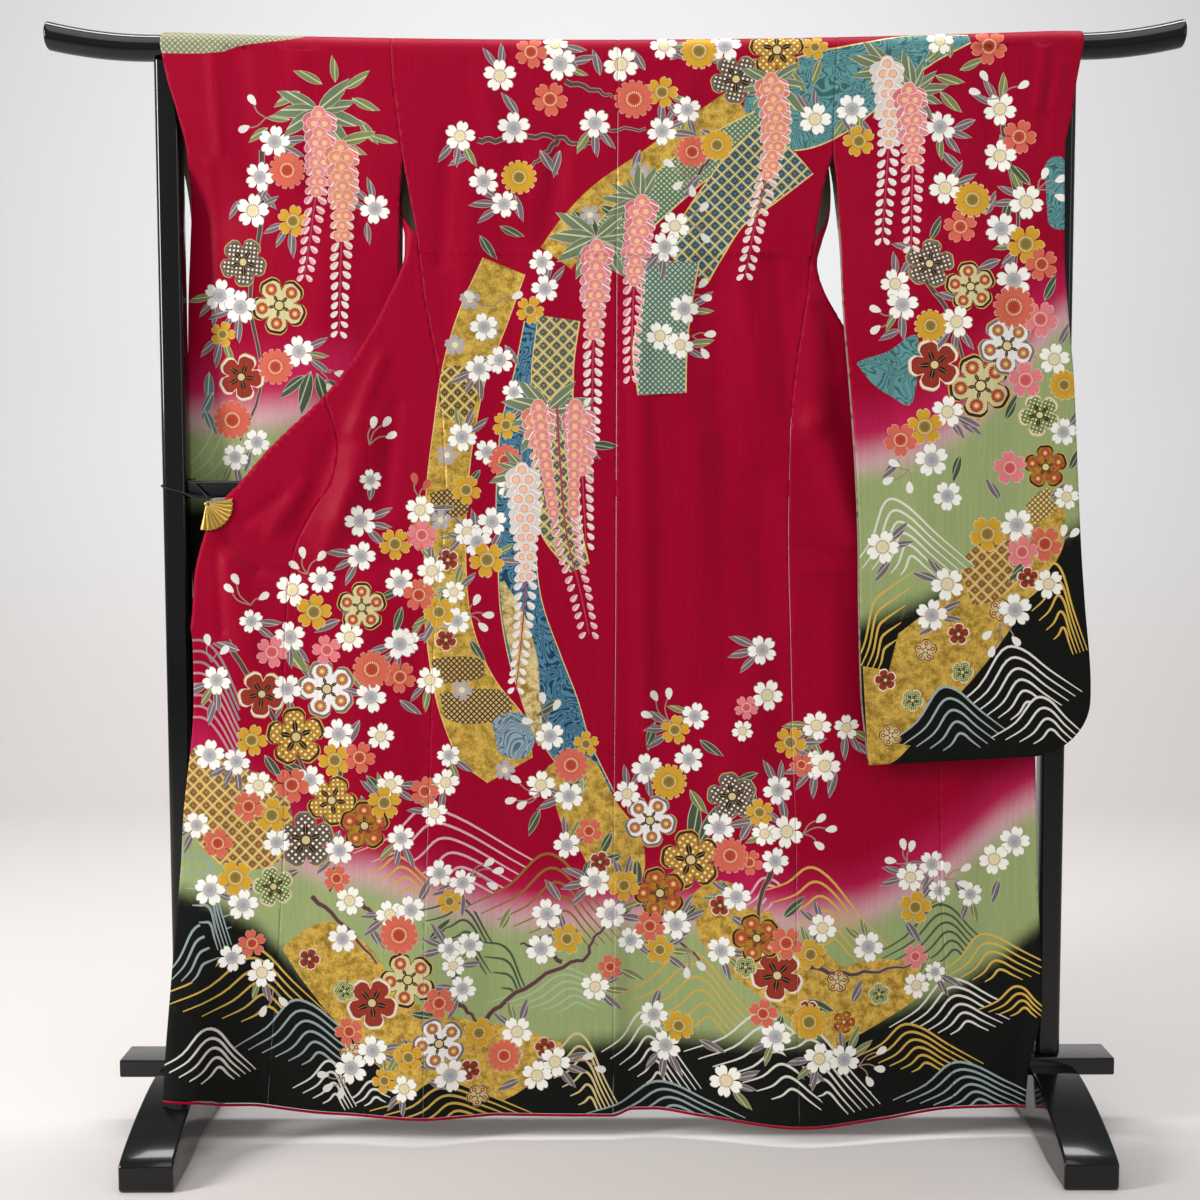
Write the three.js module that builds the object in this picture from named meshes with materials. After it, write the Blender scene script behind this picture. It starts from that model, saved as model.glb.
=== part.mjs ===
// Furisode kimono on a lacquered display stand.
// Millimetres. X runs along the bar, -Y faces the viewer, who sees the kimono's back, and Z is up.
// "Outward" is the distance from the middle of the kimono towards either end of the bar.

import * as THREE from 'three';

// ---- Driving sizes --------------------------------------------------------------------------

const GAP = 0.3;                 // clearance between pieces that touch

const BAR_HALF = 850;            // middle to end of the top bar
const BAR_RADIUS = 19.5;
const BAR_END_RADIUS = 21;
const BAR_HEIGHT = 1653;         // its axis, where it rests on the posts
const BAR_RISE = 19;             // how far each end curves up
const BAR_CURVE = 690;           // where the curve up begins
const SAG = 11.5;                // how far the bar's middle hangs below its height at the posts
const SAG_HALF = 650;            // it sags between -SAG_HALF and SAG_HALF
const SAG_FROM = 1372;           // the cloth follows the sag a little from this height,
const SAG_FULL = 1620;           // and all of it from this height up

const POST_AT = 670;             // middle of the stand to the middle of a post
const POST_SIZE = 37;
const POST_ROUND = 9;

const MID_RAIL = { bottom: 981, top: 1007, depth: 24, round: 5 };
const LOWER_RAIL = { bottom: 88, top: 115, depth: 66, half: 768, round: 2.5 };

const FOOT = {
  half: 251,                     // half its length, along Y
  crest: 101,                    // height of its top
  crestHalf: 62,                 // half the length of the level top
  toe: 38,                       // height of the blunt front end
  crestWidth: 72,
  toeWidth: 78,
  archFrom: 150,                 // the underside is raised between -archFrom and archFrom
  archRise: 12,
  chamfer: 6,                    // at the toe's lower edge
  pullCrest: 120,                // the slope's curve leaves the crest towards here
  pullToe: [26, 22],             // and comes into the toe from this far inside and above it
  round: 3,
};

const CLOTH = 2;                 // thickness of every cloth wall
const WRAP_RADIUS = 21.2;        // middle of the cloth where it passes over the bar
const WRAP_STEPS = 8;
const SHOULDER = 1623;           // the shoulder fold lies this high, behind the bar
const ARMHOLE = 1500;            // sleeve and body are sewn together above this height
const OKUMI_TOP = 1400;          // upper end of the overlap panel
const COLLAR_END = 862;          // lower end of the collar on each front edge
const COLLAR_WIDTH = 55;

// Height of the rows in which each panel is divided, from the hem (0) to the bar.
const ROWS = [0, 45, 105, 175, 255, 345, 445, 550, 650, 735, 800, COLLAR_END - 1, 910, 945, 975,
  1010, 1045, 1080, 1110, 1130, 1155, 1195, 1245, 1290, 1325, 1350, 1372, OKUMI_TOP, 1430, 1465, 1500,
  1560, 1605];
const BEND_WEIGHT = 4;           // how much closer the columns stand where a panel turns back
const HEM_BLEND = 420;           // the hem's rise and fall dies out at this row
const LEAN_TOP = 430;            // the cloth starts to lean forward over the left foot here
const LEAN_FULL = 92;            // and leans all the way here
const WAVE_TOP = 820;            // the hem's waves die out at this height

// The hem from the left front edge to the right front edge.
// wave: how far it stands back (+) or forward (-) of the plane of the hem; lean: the same, where
// the left corner lies over the foot; height: above the floor.
const HEM = [
  { x: -690, wave: 0, lean: -88, height: 94 },
  { x: -660, wave: 0, lean: -87, height: 94 },
  { x: -628, wave: 0, lean: -80, height: 92 },
  { x: -600, wave: -2, lean: -48, height: 76 },
  { x: -539, wave: -8, lean: -6, height: 61 },
  { x: -425, wave: -8, lean: 0, height: 46 },
  { x: -298, wave: -26, lean: 0, height: 43 },
  { x: -229, wave: -10, lean: 0, height: 42 },
  { x: -180, wave: 2, lean: 0, height: 41 },
  { x: -7, wave: 2, lean: 0, height: 39 },
  { x: 24, wave: 12, lean: 0, height: 46 },
  { x: 56, wave: 13, lean: 0, height: 46 },
  { x: 126, wave: 2, lean: 0, height: 39 },
  { x: 280, wave: -33, lean: 0, height: 31 },
  { x: 400, wave: -13, lean: 0, height: 38 },
  { x: 515, wave: 7, lean: 0, height: 48 },
  { x: 640, wave: 13, lean: 0, height: 49 },
];

// How far in front of the bar's axis the back of the kimono hangs, and where its centre seam runs.
const HANG = [
  { z: 0, y: -62, seam: -7 },
  { z: 250, y: -52, seam: -5 },
  { z: 500, y: -42, seam: -4 },
  { z: 800, y: -34, seam: -1 },
  { z: 1000, y: -31, seam: 0 },
  { z: 1200, y: -28, seam: 1 },
  { z: 1370, y: -25, seam: 2 },
  { z: 1494, y: -22.5, seam: 3 },
  { z: 1653, y: -21.2, seam: 4 },
];

// Largest folds: a soft ridge (+) or trough (-) between two points of the cloth.
const FOLDS = [
  { x0: -590, z0: 915, x1: -495, z1: 868, width: 20, rise: -6 },
  { x0: -585, z0: 880, x1: -560, z1: 760, width: 26, rise: 6 },
  { x0: -372, z0: 1090, x1: -412, z1: 950, width: 26, rise: 8 },
  { x0: -425, z0: 1060, x1: -478, z1: 935, width: 20, rise: -5 },
  { x0: 128, z0: 1060, x1: 182, z1: 580, width: 34, rise: 6 },
  { x0: 215, z0: 1000, x1: 246, z1: 580, width: 28, rise: -5 },
  { x0: -150, z0: 1500, x1: -190, z1: 900, width: 34, rise: -4 },
  { x0: 298, z0: 1270, x1: 300, z1: 1090, width: 20, rise: 7 },
  { x0: 300, z0: 1090, x1: 360, z1: 920, width: 22, rise: 7 },
  { x0: 350, z0: 1120, x1: 430, z1: 900, width: 28, rise: -6 },
];

// Each front panel by height. It starts at edge (its side seam or armhole), runs outward to fold,
// turns back behind itself there, and ends after width. near and far are the depths of the two
// layers; turn says how far round the fold its start lies (0 on the near layer, 1 on the far one);
// okumi is the distance from its start to the overlap panel's seam, and the collar, where there is
// one, is sewn on beyond width.
const LEFT_FRONT = [
  { z: 0, edge: 295, fold: 700, near: -62, far: -40, turn: 0, okumi: 241, width: 381 },
  { z: 155, edge: 294, fold: 700, near: -56, far: -40, turn: 0, okumi: 232, width: 379 },
  { z: 262, edge: 293, fold: 690, near: -51, far: -40, turn: 0, okumi: 224, width: 377 },
  { z: 475, edge: 287, fold: 680, near: -43, far: -32, turn: 0, okumi: 219, width: 374 },
  { z: 664, edge: 281, fold: 662, near: -37, far: -26, turn: 0, okumi: 225, width: 361 },
  { z: 760, edge: 277, fold: 652, near: -34.7, far: -24, turn: 0, okumi: 226, width: 365 },
  { z: 800, edge: 274, fold: 643, near: -34, far: -23.5, turn: 0, okumi: 226, width: 374 },
  { z: 862, edge: 268, fold: 638, near: -33, far: -23, turn: 0, okumi: 228, width: 388 },
  { z: 910, edge: 262, fold: 627, near: -32, far: -22, turn: 0, okumi: 222, width: 384 },
  { z: 962, edge: 258, fold: 606, near: -31.5, far: -21.5, turn: 0, okumi: 200, width: 368 },
  { z: 1005, edge: 257, fold: 567, near: -31, far: -20.5, turn: 0, okumi: 172, width: 333 },
  { z: 1060, edge: 259, fold: 518, near: -30, far: -19.5, turn: 0, okumi: 160, width: 302 },
  { z: 1145, edge: 264, fold: 429, near: -28.8, far: -18, turn: 0, okumi: 180, width: 287 },
  { z: 1240, edge: 279, fold: 362, near: -27.3, far: -17, turn: 0, okumi: 214, width: 271 },
  { z: 1282, edge: 287, fold: 341, near: -26.6, far: -16.5, turn: 0, okumi: 224, width: 264 },
  { z: 1312, edge: 290, fold: 326, near: -26, far: -15.5, turn: 0, okumi: 229, width: 258 },
  { z: 1345, edge: 294, fold: 316, near: -25.4, far: -7, turn: 0, okumi: 233, width: 252 },
  { z: 1372, edge: 297, fold: 316, near: -24.8, far: 4, turn: 0, okumi: 235, width: 247 },
  { z: 1400, edge: 309, fold: 322, near: -16, far: 13, turn: 0.25, okumi: 236, width: 243 },
  { z: 1440, edge: 316, fold: 325, near: -6, far: 21, turn: 0.65, okumi: 240, width: 240 },
  { z: 1494, edge: 318, fold: 328, near: 0, far: 26, turn: 1, okumi: 240, width: 240 },
  { z: 1553, edge: 325, fold: 335, near: -2, far: 24, turn: 1, okumi: 240, width: 240 },
  { z: 1605, edge: 331, fold: 341, near: -4, far: 22.5, turn: 1, okumi: 240, width: 240 },
  { z: 1653, edge: 334, fold: 344, near: -5, far: 21.2, turn: 1, okumi: 240, width: 240 },
];

const RIGHT_FRONT = [
  { z: 0, edge: 275, fold: 660, near: -62, far: -40, turn: 0, okumi: 243, width: 349 },
  { z: 100, edge: 274, fold: 660, near: -58, far: -40, turn: 0, okumi: 240, width: 356 },
  { z: 207, edge: 273, fold: 672, near: -54, far: -40, turn: 0, okumi: 232, width: 377 },
  { z: 441, edge: 272, fold: 664, near: -44.5, far: -34, turn: 0, okumi: 221, width: 369 },
  { z: 572, edge: 268, fold: 658, near: -39.8, far: -28, turn: 0, okumi: 224, width: 369 },
  { z: 760, edge: 264, fold: 648, near: -34.7, far: -25, turn: 0, okumi: 228, width: 366 },
  { z: 800, edge: 263, fold: 636, near: -34, far: -24.5, turn: 0, okumi: 229, width: 373 },
  { z: 862, edge: 261, fold: 626, near: -33, far: -24, turn: 0, okumi: 231, width: 384 },
  { z: 937, edge: 260, fold: 606, near: -31.9, far: -22, turn: 0, okumi: 222, width: 368 },
  { z: 1020, edge: 261, fold: 518, near: -30.7, far: -20.5, turn: 0, okumi: 190, width: 310 },
  { z: 1060, edge: 262, fold: 477, near: -30, far: -19.5, turn: 0, okumi: 168, width: 301 },
  { z: 1111, edge: 264, fold: 427, near: -29.3, far: -18.5, turn: 0, okumi: 170, width: 292 },
  { z: 1240, edge: 280, fold: 340, near: -27.3, far: -17, turn: 0, okumi: 218, width: 270 },
  { z: 1295, edge: 288, fold: 309, near: -26.3, far: -16, turn: 0, okumi: 229, width: 260 },
  { z: 1330, edge: 291, fold: 301, near: -25.7, far: -13, turn: 0, okumi: 232, width: 254 },
  { z: 1362, edge: 297, fold: 309, near: -25.1, far: 0, turn: 0, okumi: 235, width: 248 },
  { z: 1400, edge: 313, fold: 321, near: -14, far: 13, turn: 0.3, okumi: 236, width: 243 },
  { z: 1448, edge: 319, fold: 327, near: -6, far: 21, turn: 0.7, okumi: 240, width: 240 },
  { z: 1502, edge: 324, fold: 334, near: 0, far: 25, turn: 1, okumi: 240, width: 240 },
  { z: 1553, edge: 325, fold: 335, near: -2, far: 23.5, turn: 1, okumi: 240, width: 240 },
  { z: 1605, edge: 327, fold: 337, near: -4, far: 22.3, turn: 1, okumi: 240, width: 240 },
  { z: 1653, edge: 329, fold: 339, near: -5, far: 21.2, turn: 1, okumi: 240, width: 240 },
];

// Outer edge of each back panel where it parts from the front panel, above the side seam.
const LEFT_BACK_EDGE = [
  { z: 1372, edge: 297 }, { z: 1440, edge: 309 }, { z: 1494, edge: 318 },
  { z: 1553, edge: 325 }, { z: 1605, edge: 331 }, { z: 1653, edge: 334 },
];
const RIGHT_BACK_EDGE = [
  { z: 1362, edge: 297 }, { z: 1448, edge: 311 }, { z: 1502, edge: 324 },
  { z: 1553, edge: 325 }, { z: 1605, edge: 327 }, { z: 1653, edge: 329 },
];

// Each sleeve by height: where its inner and outer edges are, and the depth of its near layer (in
// front) and its far layer (behind) at both edges. farOuter is the far layer's own outer edge.
// The left sleeve passes behind its post and the middle rail, the right one in front of them.
const SLEEVE_CORNER = 92;        // radius of the rounded lower corner
const SLEEVE_BLEND = 200;        // the bottom edge's slope dies out at this height above it
const SLEEVE_CLOSING = 30;       // height over which the layers draw together at the bottom
const SLEEVE_RISES = [0, 8, 20, 40, 70, 120]; // rows above the bottom edge
const SLEEVE_ROWS = [770, 850, 930, 1010, 1090, 1170, 1245, 1305, 1350, 1385, 1410, 1435, 1465];
const SLEEVE_SEAM = 2 * CLOTH + GAP; // the layers' middles where they are sewn together, doubled wall
const LEFT_SLEEVE = {
  bottom: 563,
  slope: 12,
  rows: [
    { z: 563, inner: 335, outer: 652, farOuter: 652, nearIn: 20, nearOut: 27, farIn: 42, farOut: 31.3 },
    { z: 800, inner: 333, outer: 655, farOuter: 655, nearIn: 20, nearOut: 27, farIn: 42, farOut: 31.3 },
    { z: 1005, inner: 330, outer: 656, farOuter: 656, nearIn: 18, nearOut: 27, farIn: 42, farOut: 31.3 },
    { z: 1060, inner: 329, outer: 656, farOuter: 656, nearIn: 12, nearOut: 27, farIn: 41, farOut: 31.3 },
    { z: 1145, inner: 328, outer: 656, farOuter: 656, nearIn: 3, nearOut: 27, farIn: 40, farOut: 31.3 },
    { z: 1282, inner: 327, outer: 653, farOuter: 653, nearIn: -6, nearOut: 26, farIn: 38, farOut: 30.3 },
    { z: 1345, inner: 326, outer: 649, farOuter: 649, nearIn: -10, nearOut: 24.5, farIn: 36, farOut: 28.8 },
    { z: 1390, inner: 325, outer: 646, farOuter: 646, nearIn: -14, nearOut: 23, farIn: 34, farOut: 27.3 },
    { z: 1410, inner: 324.5, outer: 644, farOuter: 647, nearIn: -15, nearOut: 19, farIn: 33, farOut: 28 },
    { z: 1450, inner: 322, outer: 641, farOuter: 652, nearIn: -19, nearOut: 4, farIn: 30, farOut: 30 },
    { z: 1494, inner: 318.3, outer: 641, farOuter: 660, nearIn: -22, nearOut: -13, farIn: 26, farOut: 30 },
    { z: 1553, inner: 325.3, outer: 652, farOuter: 667, nearIn: -22, nearOut: -22.5, farIn: 24, farOut: 27 },
    { z: 1605, inner: 331.3, outer: 667, farOuter: 672, nearIn: -21.6, nearOut: -22, farIn: 22.5, farOut: 23 },
    { z: 1653, inner: 334.3, outer: 676, farOuter: 676, nearIn: -21.2, nearOut: -21.2, farIn: 21.2, farOut: 21.2 },
  ],
};
const RIGHT_SLEEVE = {
  bottom: 578,
  slope: 12,
  rows: [
    { z: 578, inner: 379, outer: 709, farOuter: 709, nearIn: -72, nearOut: -65, farIn: -52, farOut: -60.7 },
    { z: 690, inner: 367, outer: 711, farOuter: 711, nearIn: -70, nearOut: -64, farIn: -51, farOut: -59.7 },
    { z: 825, inner: 363, outer: 700, farOuter: 700, nearIn: -68, nearOut: -62, farIn: -49, farOut: -57.7 },
    { z: 903, inner: 362, outer: 694, farOuter: 694, nearIn: -67, nearOut: -60, farIn: -48, farOut: -55.7 },
    { z: 1017, inner: 357, outer: 688, farOuter: 688, nearIn: -65, nearOut: -56, farIn: -46, farOut: -51.7 },
    { z: 1160, inner: 346, outer: 681, farOuter: 681, nearIn: -61, nearOut: -50, farIn: -43, farOut: -45.7 },
    { z: 1243, inner: 339, outer: 674, farOuter: 674, nearIn: -56, nearOut: -44, farIn: -40, farOut: -39.7 },
    { z: 1300, inner: 336, outer: 670, farOuter: 670, nearIn: -50, nearOut: -39, farIn: -34, farOut: -34.7 },
    { z: 1347, inner: 335, outer: 668, farOuter: 668, nearIn: -43, nearOut: -36, farIn: -24, farOut: -31.7 },
    { z: 1404, inner: 332, outer: 668, farOuter: 667, nearIn: -34, nearOut: -33, farIn: -6, farOut: -28.4 },
    { z: 1430, inner: 330.5, outer: 668, farOuter: 656, nearIn: -31, nearOut: -31.5, farIn: 4, farOut: -25 },
    { z: 1455, inner: 329, outer: 668, farOuter: 646, nearIn: -28, nearOut: -30, farIn: 13, farOut: -19 },
    { z: 1502, inner: 324.3, outer: 669, farOuter: 643, nearIn: -24, nearOut: -27, farIn: 25, farOut: -1 },
    { z: 1553, inner: 325.3, outer: 680, farOuter: 645, nearIn: -22, nearOut: -24, farIn: 23.5, farOut: 17 },
    { z: 1580, inner: 326.3, outer: 683, farOuter: 662, nearIn: -21.7, nearOut: -23, farIn: 22.8, farOut: 23 },
    { z: 1605, inner: 327.3, outer: 687, farOuter: 680, nearIn: -21.5, nearOut: -22, farIn: 22.3, farOut: 23 },
    { z: 1653, inner: 329.3, outer: 696, farOuter: 696, nearIn: -21.2, nearOut: -21.2, farIn: 21.2, farOut: 21.2 },
  ],
};

// ---- Materials ------------------------------------------------------------------------------

function material(colour, roughness, metalness) {
  return new THREE.MeshStandardMaterial({ color: colour, roughness, metalness });
}
const SILK = material('#a1052b', 0.55, 0);
const LINING = material('#8c1630', 0.6, 0);
const LACQUER = material('#08080a', 0.12, 0);
const GOLD = material('#c79a3a', 0.3, 1);
const JAW_METAL = material('#b9b9b4', 0.35, 1);
const CORD_BLACK = material('#101012', 0.7, 0);

// ---- Helpers --------------------------------------------------------------------------------

const kimono = new THREE.Group();

function addPiece(name, geometry, piecesMaterial) {
  const mesh = new THREE.Mesh(geometry, piecesMaterial);
  mesh.name = name;
  kimono.add(mesh);
}

function mix(a, b, t) {
  return a + (b - a) * t;
}

function steps(count) {
  return Array.from({ length: count + 1 }, (_, i) => i / count);
}

// A smooth curve through one column of a table, level where the column turns.
function column(rows, at, name) {
  const xs = rows.map((row) => row[at]);
  const ys = rows.map((row) => row[name]);
  const slopes = xs.slice(1).map((x, i) => (ys[i + 1] - ys[i]) / (x - xs[i]));
  const tangents = xs.map((x, i) => {
    if (i === 0) return slopes[0];
    if (i === xs.length - 1) return slopes[i - 1];
    const product = slopes[i - 1] * slopes[i];
    return product <= 0 ? 0 : (2 * product) / (slopes[i - 1] + slopes[i]);
  });
  return (x) => {
    if (x <= xs[0]) return ys[0];
    if (x >= xs[xs.length - 1]) return ys[ys.length - 1];
    let i = 0;
    while (x > xs[i + 1]) i += 1;
    const span = xs[i + 1] - xs[i];
    const t = (x - xs[i]) / span;
    const a = (1 + 2 * t) * (1 - t) * (1 - t);
    const b = t * (1 - t) * (1 - t);
    const c = t * t * (3 - 2 * t);
    const d = t * t * (t - 1);
    return a * ys[i] + b * span * tangents[i] + c * ys[i + 1] + d * span * tangents[i + 1];
  };
}

function table(rows, at) {
  const names = Object.keys(rows[0]).filter((name) => name !== at);
  return Object.fromEntries(names.map((name) => [name, column(rows, at, name)]));
}

// Lowers a point of the bar, or of cloth near it, by the bar's sag.
function sagged(point) {
  const across = Math.max(0, 1 - (point.x / SAG_HALF) ** 2);
  const share = Math.min(1, Math.max(0, (point.z - SAG_FROM) / (SAG_FULL - SAG_FROM)));
  return point.clone().setZ(point.z - SAG * across * share);
}

// A closed body from corner coordinates and triangles, all turned over if they face inwards.
function closedBody(positions, triangles) {
  const corner = (k) => new THREE.Vector3().fromArray(positions, 3 * triangles[k]);
  let volume = 0;
  for (let k = 0; k < triangles.length; k += 3) {
    volume += corner(k).dot(corner(k + 1).cross(corner(k + 2)));
  }
  const geometry = new THREE.BufferGeometry();
  geometry.setAttribute('position', new THREE.Float32BufferAttribute(positions, 3));
  geometry.setIndex(volume > 0 ? triangles : triangles.reverse());
  geometry.computeVertexNormals();
  return geometry;
}

// A cloth wall: a grid of middle points, given thickness on both sides and closed round its rim.
// A point may bring the direction it faces, so that two panels face the same way at their seam.
function wall(grid, thickness = CLOTH) {
  const rows = grid.length;
  const cols = grid[0].length;
  const positions = [];
  for (const side of [1, -1]) {
    for (let i = 0; i < rows; i += 1) {
      for (let j = 0; j < cols; j += 1) {
        const along = grid[Math.min(i + 1, rows - 1)][j].clone().sub(grid[Math.max(i - 1, 0)][j]);
        const across = grid[i][Math.min(j + 1, cols - 1)].clone().sub(grid[i][Math.max(j - 1, 0)]);
        const normal = across.cross(along).normalize();
        const facing = grid[i][j].facing ?? normal;
        const offset = (side * Math.sign(facing.dot(normal)) * thickness) / 2;
        positions.push(...sagged(grid[i][j].clone().addScaledVector(facing, offset)).toArray());
      }
    }
  }
  const triangles = [];
  const quad = (a, b, c, d) => {
    triangles.push(a, b, c, a, c, d);
  };
  const at = (side, i, j) => side * rows * cols + i * cols + j;
  for (let i = 0; i + 1 < rows; i += 1) {
    for (let j = 0; j + 1 < cols; j += 1) {
      quad(at(0, i, j), at(0, i, j + 1), at(0, i + 1, j + 1), at(0, i + 1, j));
      quad(at(1, i, j), at(1, i + 1, j), at(1, i + 1, j + 1), at(1, i, j + 1));
    }
    quad(at(0, i, 0), at(0, i + 1, 0), at(1, i + 1, 0), at(1, i, 0));
    quad(at(0, i, cols - 1), at(1, i, cols - 1), at(1, i + 1, cols - 1), at(0, i + 1, cols - 1));
  }
  for (let j = 0; j + 1 < cols; j += 1) {
    quad(at(0, 0, j), at(1, 0, j), at(1, 0, j + 1), at(0, 0, j + 1));
    quad(at(0, rows - 1, j), at(0, rows - 1, j + 1), at(1, rows - 1, j + 1), at(1, rows - 1, j));
  }
  return closedBody(positions, triangles);
}

// A bar or tube through rings of points, closed by flat ends.
function loft(rings) {
  const count = rings[0].length;
  const positions = rings.flat().flatMap((point) => point.toArray());
  const triangles = [];
  for (let i = 0; i + 1 < rings.length; i += 1) {
    for (let k = 0; k < count; k += 1) {
      const a = i * count + k;
      const b = i * count + ((k + 1) % count);
      triangles.push(a, b, b + count, a, b + count, a + count);
    }
  }
  const last = (rings.length - 1) * count;
  for (let k = 1; k + 1 < count; k += 1) {
    triangles.push(0, k + 1, k, last, last + k, last + k + 1);
  }
  return closedBody(positions, triangles);
}

function roundedRectangle(width, height, radius) {
  const shape = new THREE.Shape();
  const w = width / 2;
  const h = height / 2;
  shape.moveTo(-w + radius, -h);
  shape.lineTo(w - radius, -h);
  shape.absarc(w - radius, -h + radius, radius, -Math.PI / 2, 0);
  shape.absarc(w - radius, h - radius, radius, 0, Math.PI / 2);
  shape.absarc(-w + radius, h - radius, radius, Math.PI / 2, Math.PI);
  shape.absarc(-w + radius, -h + radius, radius, Math.PI, 1.5 * Math.PI);
  return shape;
}

// ---- Stand ----------------------------------------------------------------------------------

function topBar() {
  const sides = 16;
  const chamfer = 2.5;
  const half = [
    50, 150, 250, 350, 450, 550, SAG_HALF, BAR_CURVE, 730, 770, 810, BAR_HALF - chamfer, BAR_HALF,
  ];
  const stations = [...half.map((x) => -x).reverse(), ...half];
  return loft(stations.map((x) => {
    const along = Math.max(0, (Math.abs(x) - BAR_CURVE) / (BAR_HALF - BAR_CURVE));
    const end = Math.abs(x) === BAR_HALF ? chamfer : 0;
    const radius = mix(BAR_RADIUS, BAR_END_RADIUS, along) - end;
    return steps(sides).slice(0, sides).map((turn) => {
      const angle = turn * 2 * Math.PI;
      const z = BAR_HEIGHT + BAR_RISE * along * along + radius * Math.sin(angle);
      return sagged(new THREE.Vector3(x, radius * Math.cos(angle), z));
    });
  }));
}

function post(sign) {
  const bottom = LOWER_RAIL.top + GAP;
  const top = BAR_HEIGHT - BAR_RADIUS - GAP;
  const section = roundedRectangle(POST_SIZE, POST_SIZE, POST_ROUND);
  const geometry = new THREE.ExtrudeGeometry(section, { depth: top - bottom, bevelEnabled: false, curveSegments: 4 });
  geometry.translate(sign * POST_AT, 0, bottom);
  return geometry;
}

function rail(size, half) {
  const section = roundedRectangle(size.depth, size.top - size.bottom, size.round);
  const geometry = new THREE.ExtrudeGeometry(section, { depth: 2 * half, bevelEnabled: false, curveSegments: 2 });
  geometry.rotateX(Math.PI / 2);
  geometry.rotateZ(Math.PI / 2);
  geometry.translate(-half, 0, (size.top + size.bottom) / 2);
  return geometry;
}

// An arched block on edge: level crest with a notch for the lower rail, sloping to a blunt toe at
// each end, and raised underneath between its two ends.
function foot(sign) {
  const notch = LOWER_RAIL.depth / 2 + GAP;
  const floor = LOWER_RAIL.bottom - GAP;
  const shape = new THREE.Shape();
  const toePull = FOOT.half - FOOT.pullToe[0];
  const toePullHeight = FOOT.toe + FOOT.pullToe[1];
  const crestPullHeight = FOOT.crest - 4;
  shape.moveTo(-FOOT.half + FOOT.chamfer, 0);
  shape.lineTo(-FOOT.archFrom, 0);
  shape.quadraticCurveTo(0, 2 * FOOT.archRise, FOOT.archFrom, 0);
  shape.lineTo(FOOT.half - FOOT.chamfer, 0);
  shape.lineTo(FOOT.half, FOOT.chamfer);
  shape.lineTo(FOOT.half, FOOT.toe);
  shape.bezierCurveTo(
    toePull, toePullHeight, FOOT.pullCrest, crestPullHeight, FOOT.crestHalf, FOOT.crest,
  );
  shape.lineTo(notch, FOOT.crest);
  shape.lineTo(notch, floor);
  shape.lineTo(-notch, floor);
  shape.lineTo(-notch, FOOT.crest);
  shape.lineTo(-FOOT.crestHalf, FOOT.crest);
  shape.bezierCurveTo(
    -FOOT.pullCrest, crestPullHeight, -toePull, toePullHeight, -FOOT.half, FOOT.toe,
  );
  shape.lineTo(-FOOT.half, FOOT.chamfer);
  shape.lineTo(-FOOT.half + FOOT.chamfer, 0);
  const geometry = new THREE.ExtrudeGeometry(shape, {
    depth: FOOT.crestWidth - 2 * FOOT.round,
    bevelThickness: FOOT.round,
    bevelSize: FOOT.round,
    bevelOffset: -FOOT.round,
    bevelSegments: 2,
    curveSegments: 8,
  });
  geometry.translate(0, 0, FOOT.round - FOOT.crestWidth / 2);
  geometry.rotateX(Math.PI / 2);
  geometry.rotateZ(Math.PI / 2);
  const points = geometry.attributes.position;
  for (let i = 0; i < points.count; i += 1) {
    const outward = Math.max(0, Math.abs(points.getY(i)) - FOOT.crestHalf) / (FOOT.half - FOOT.crestHalf);
    points.setX(i, points.getX(i) * mix(1, FOOT.toeWidth / FOOT.crestWidth, outward));
  }
  geometry.translate(sign * POST_AT, 0, 0);
  return geometry;
}

addPiece('top_bar', topBar(), LACQUER);
addPiece('post_left', post(-1), LACQUER);
addPiece('post_right', post(1), LACQUER);
addPiece('mid_rail', rail(MID_RAIL, POST_AT - POST_SIZE / 2 - GAP), LACQUER);
addPiece('lower_rail', rail(LOWER_RAIL, LOWER_RAIL.half), LACQUER);
addPiece('foot_left', foot(-1), LACQUER);
addPiece('foot_right', foot(1), LACQUER);

// ---- Body of the kimono ---------------------------------------------------------------------

const hem = table(HEM, 'x');
const hang = table(HANG, 'z');

// How far the cloth at (x, z) stands back (+) or forward (-) of its plane: waves, lean and folds.
function ripple(x, z) {
  const wave = hem.wave(x) * Math.max(0, 1 - z / WAVE_TOP) ** 1.3;
  const lean = hem.lean(x) * Math.min(1, Math.max(0, (LEAN_TOP - z) / (LEAN_TOP - LEAN_FULL)) ** 1.15);
  const folds = FOLDS.reduce((sum, fold) => {
    const dx = fold.x1 - fold.x0;
    const dz = fold.z1 - fold.z0;
    const along = ((x - fold.x0) * dx + (z - fold.z0) * dz) / (dx * dx + dz * dz);
    const t = Math.min(1, Math.max(0, along));
    const distance = Math.hypot(x - fold.x0 - t * dx, z - fold.z0 - t * dz);
    return sum - fold.rise * Math.exp(-((distance / fold.width) ** 2));
  }, 0);
  return wave + lean + folds;
}

// The height of a row at x: rows near the hem follow its rise and fall.
function rowHeight(row, x) {
  return row + hem.height(x) * Math.max(0, 1 - row / HEM_BLEND);
}

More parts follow.
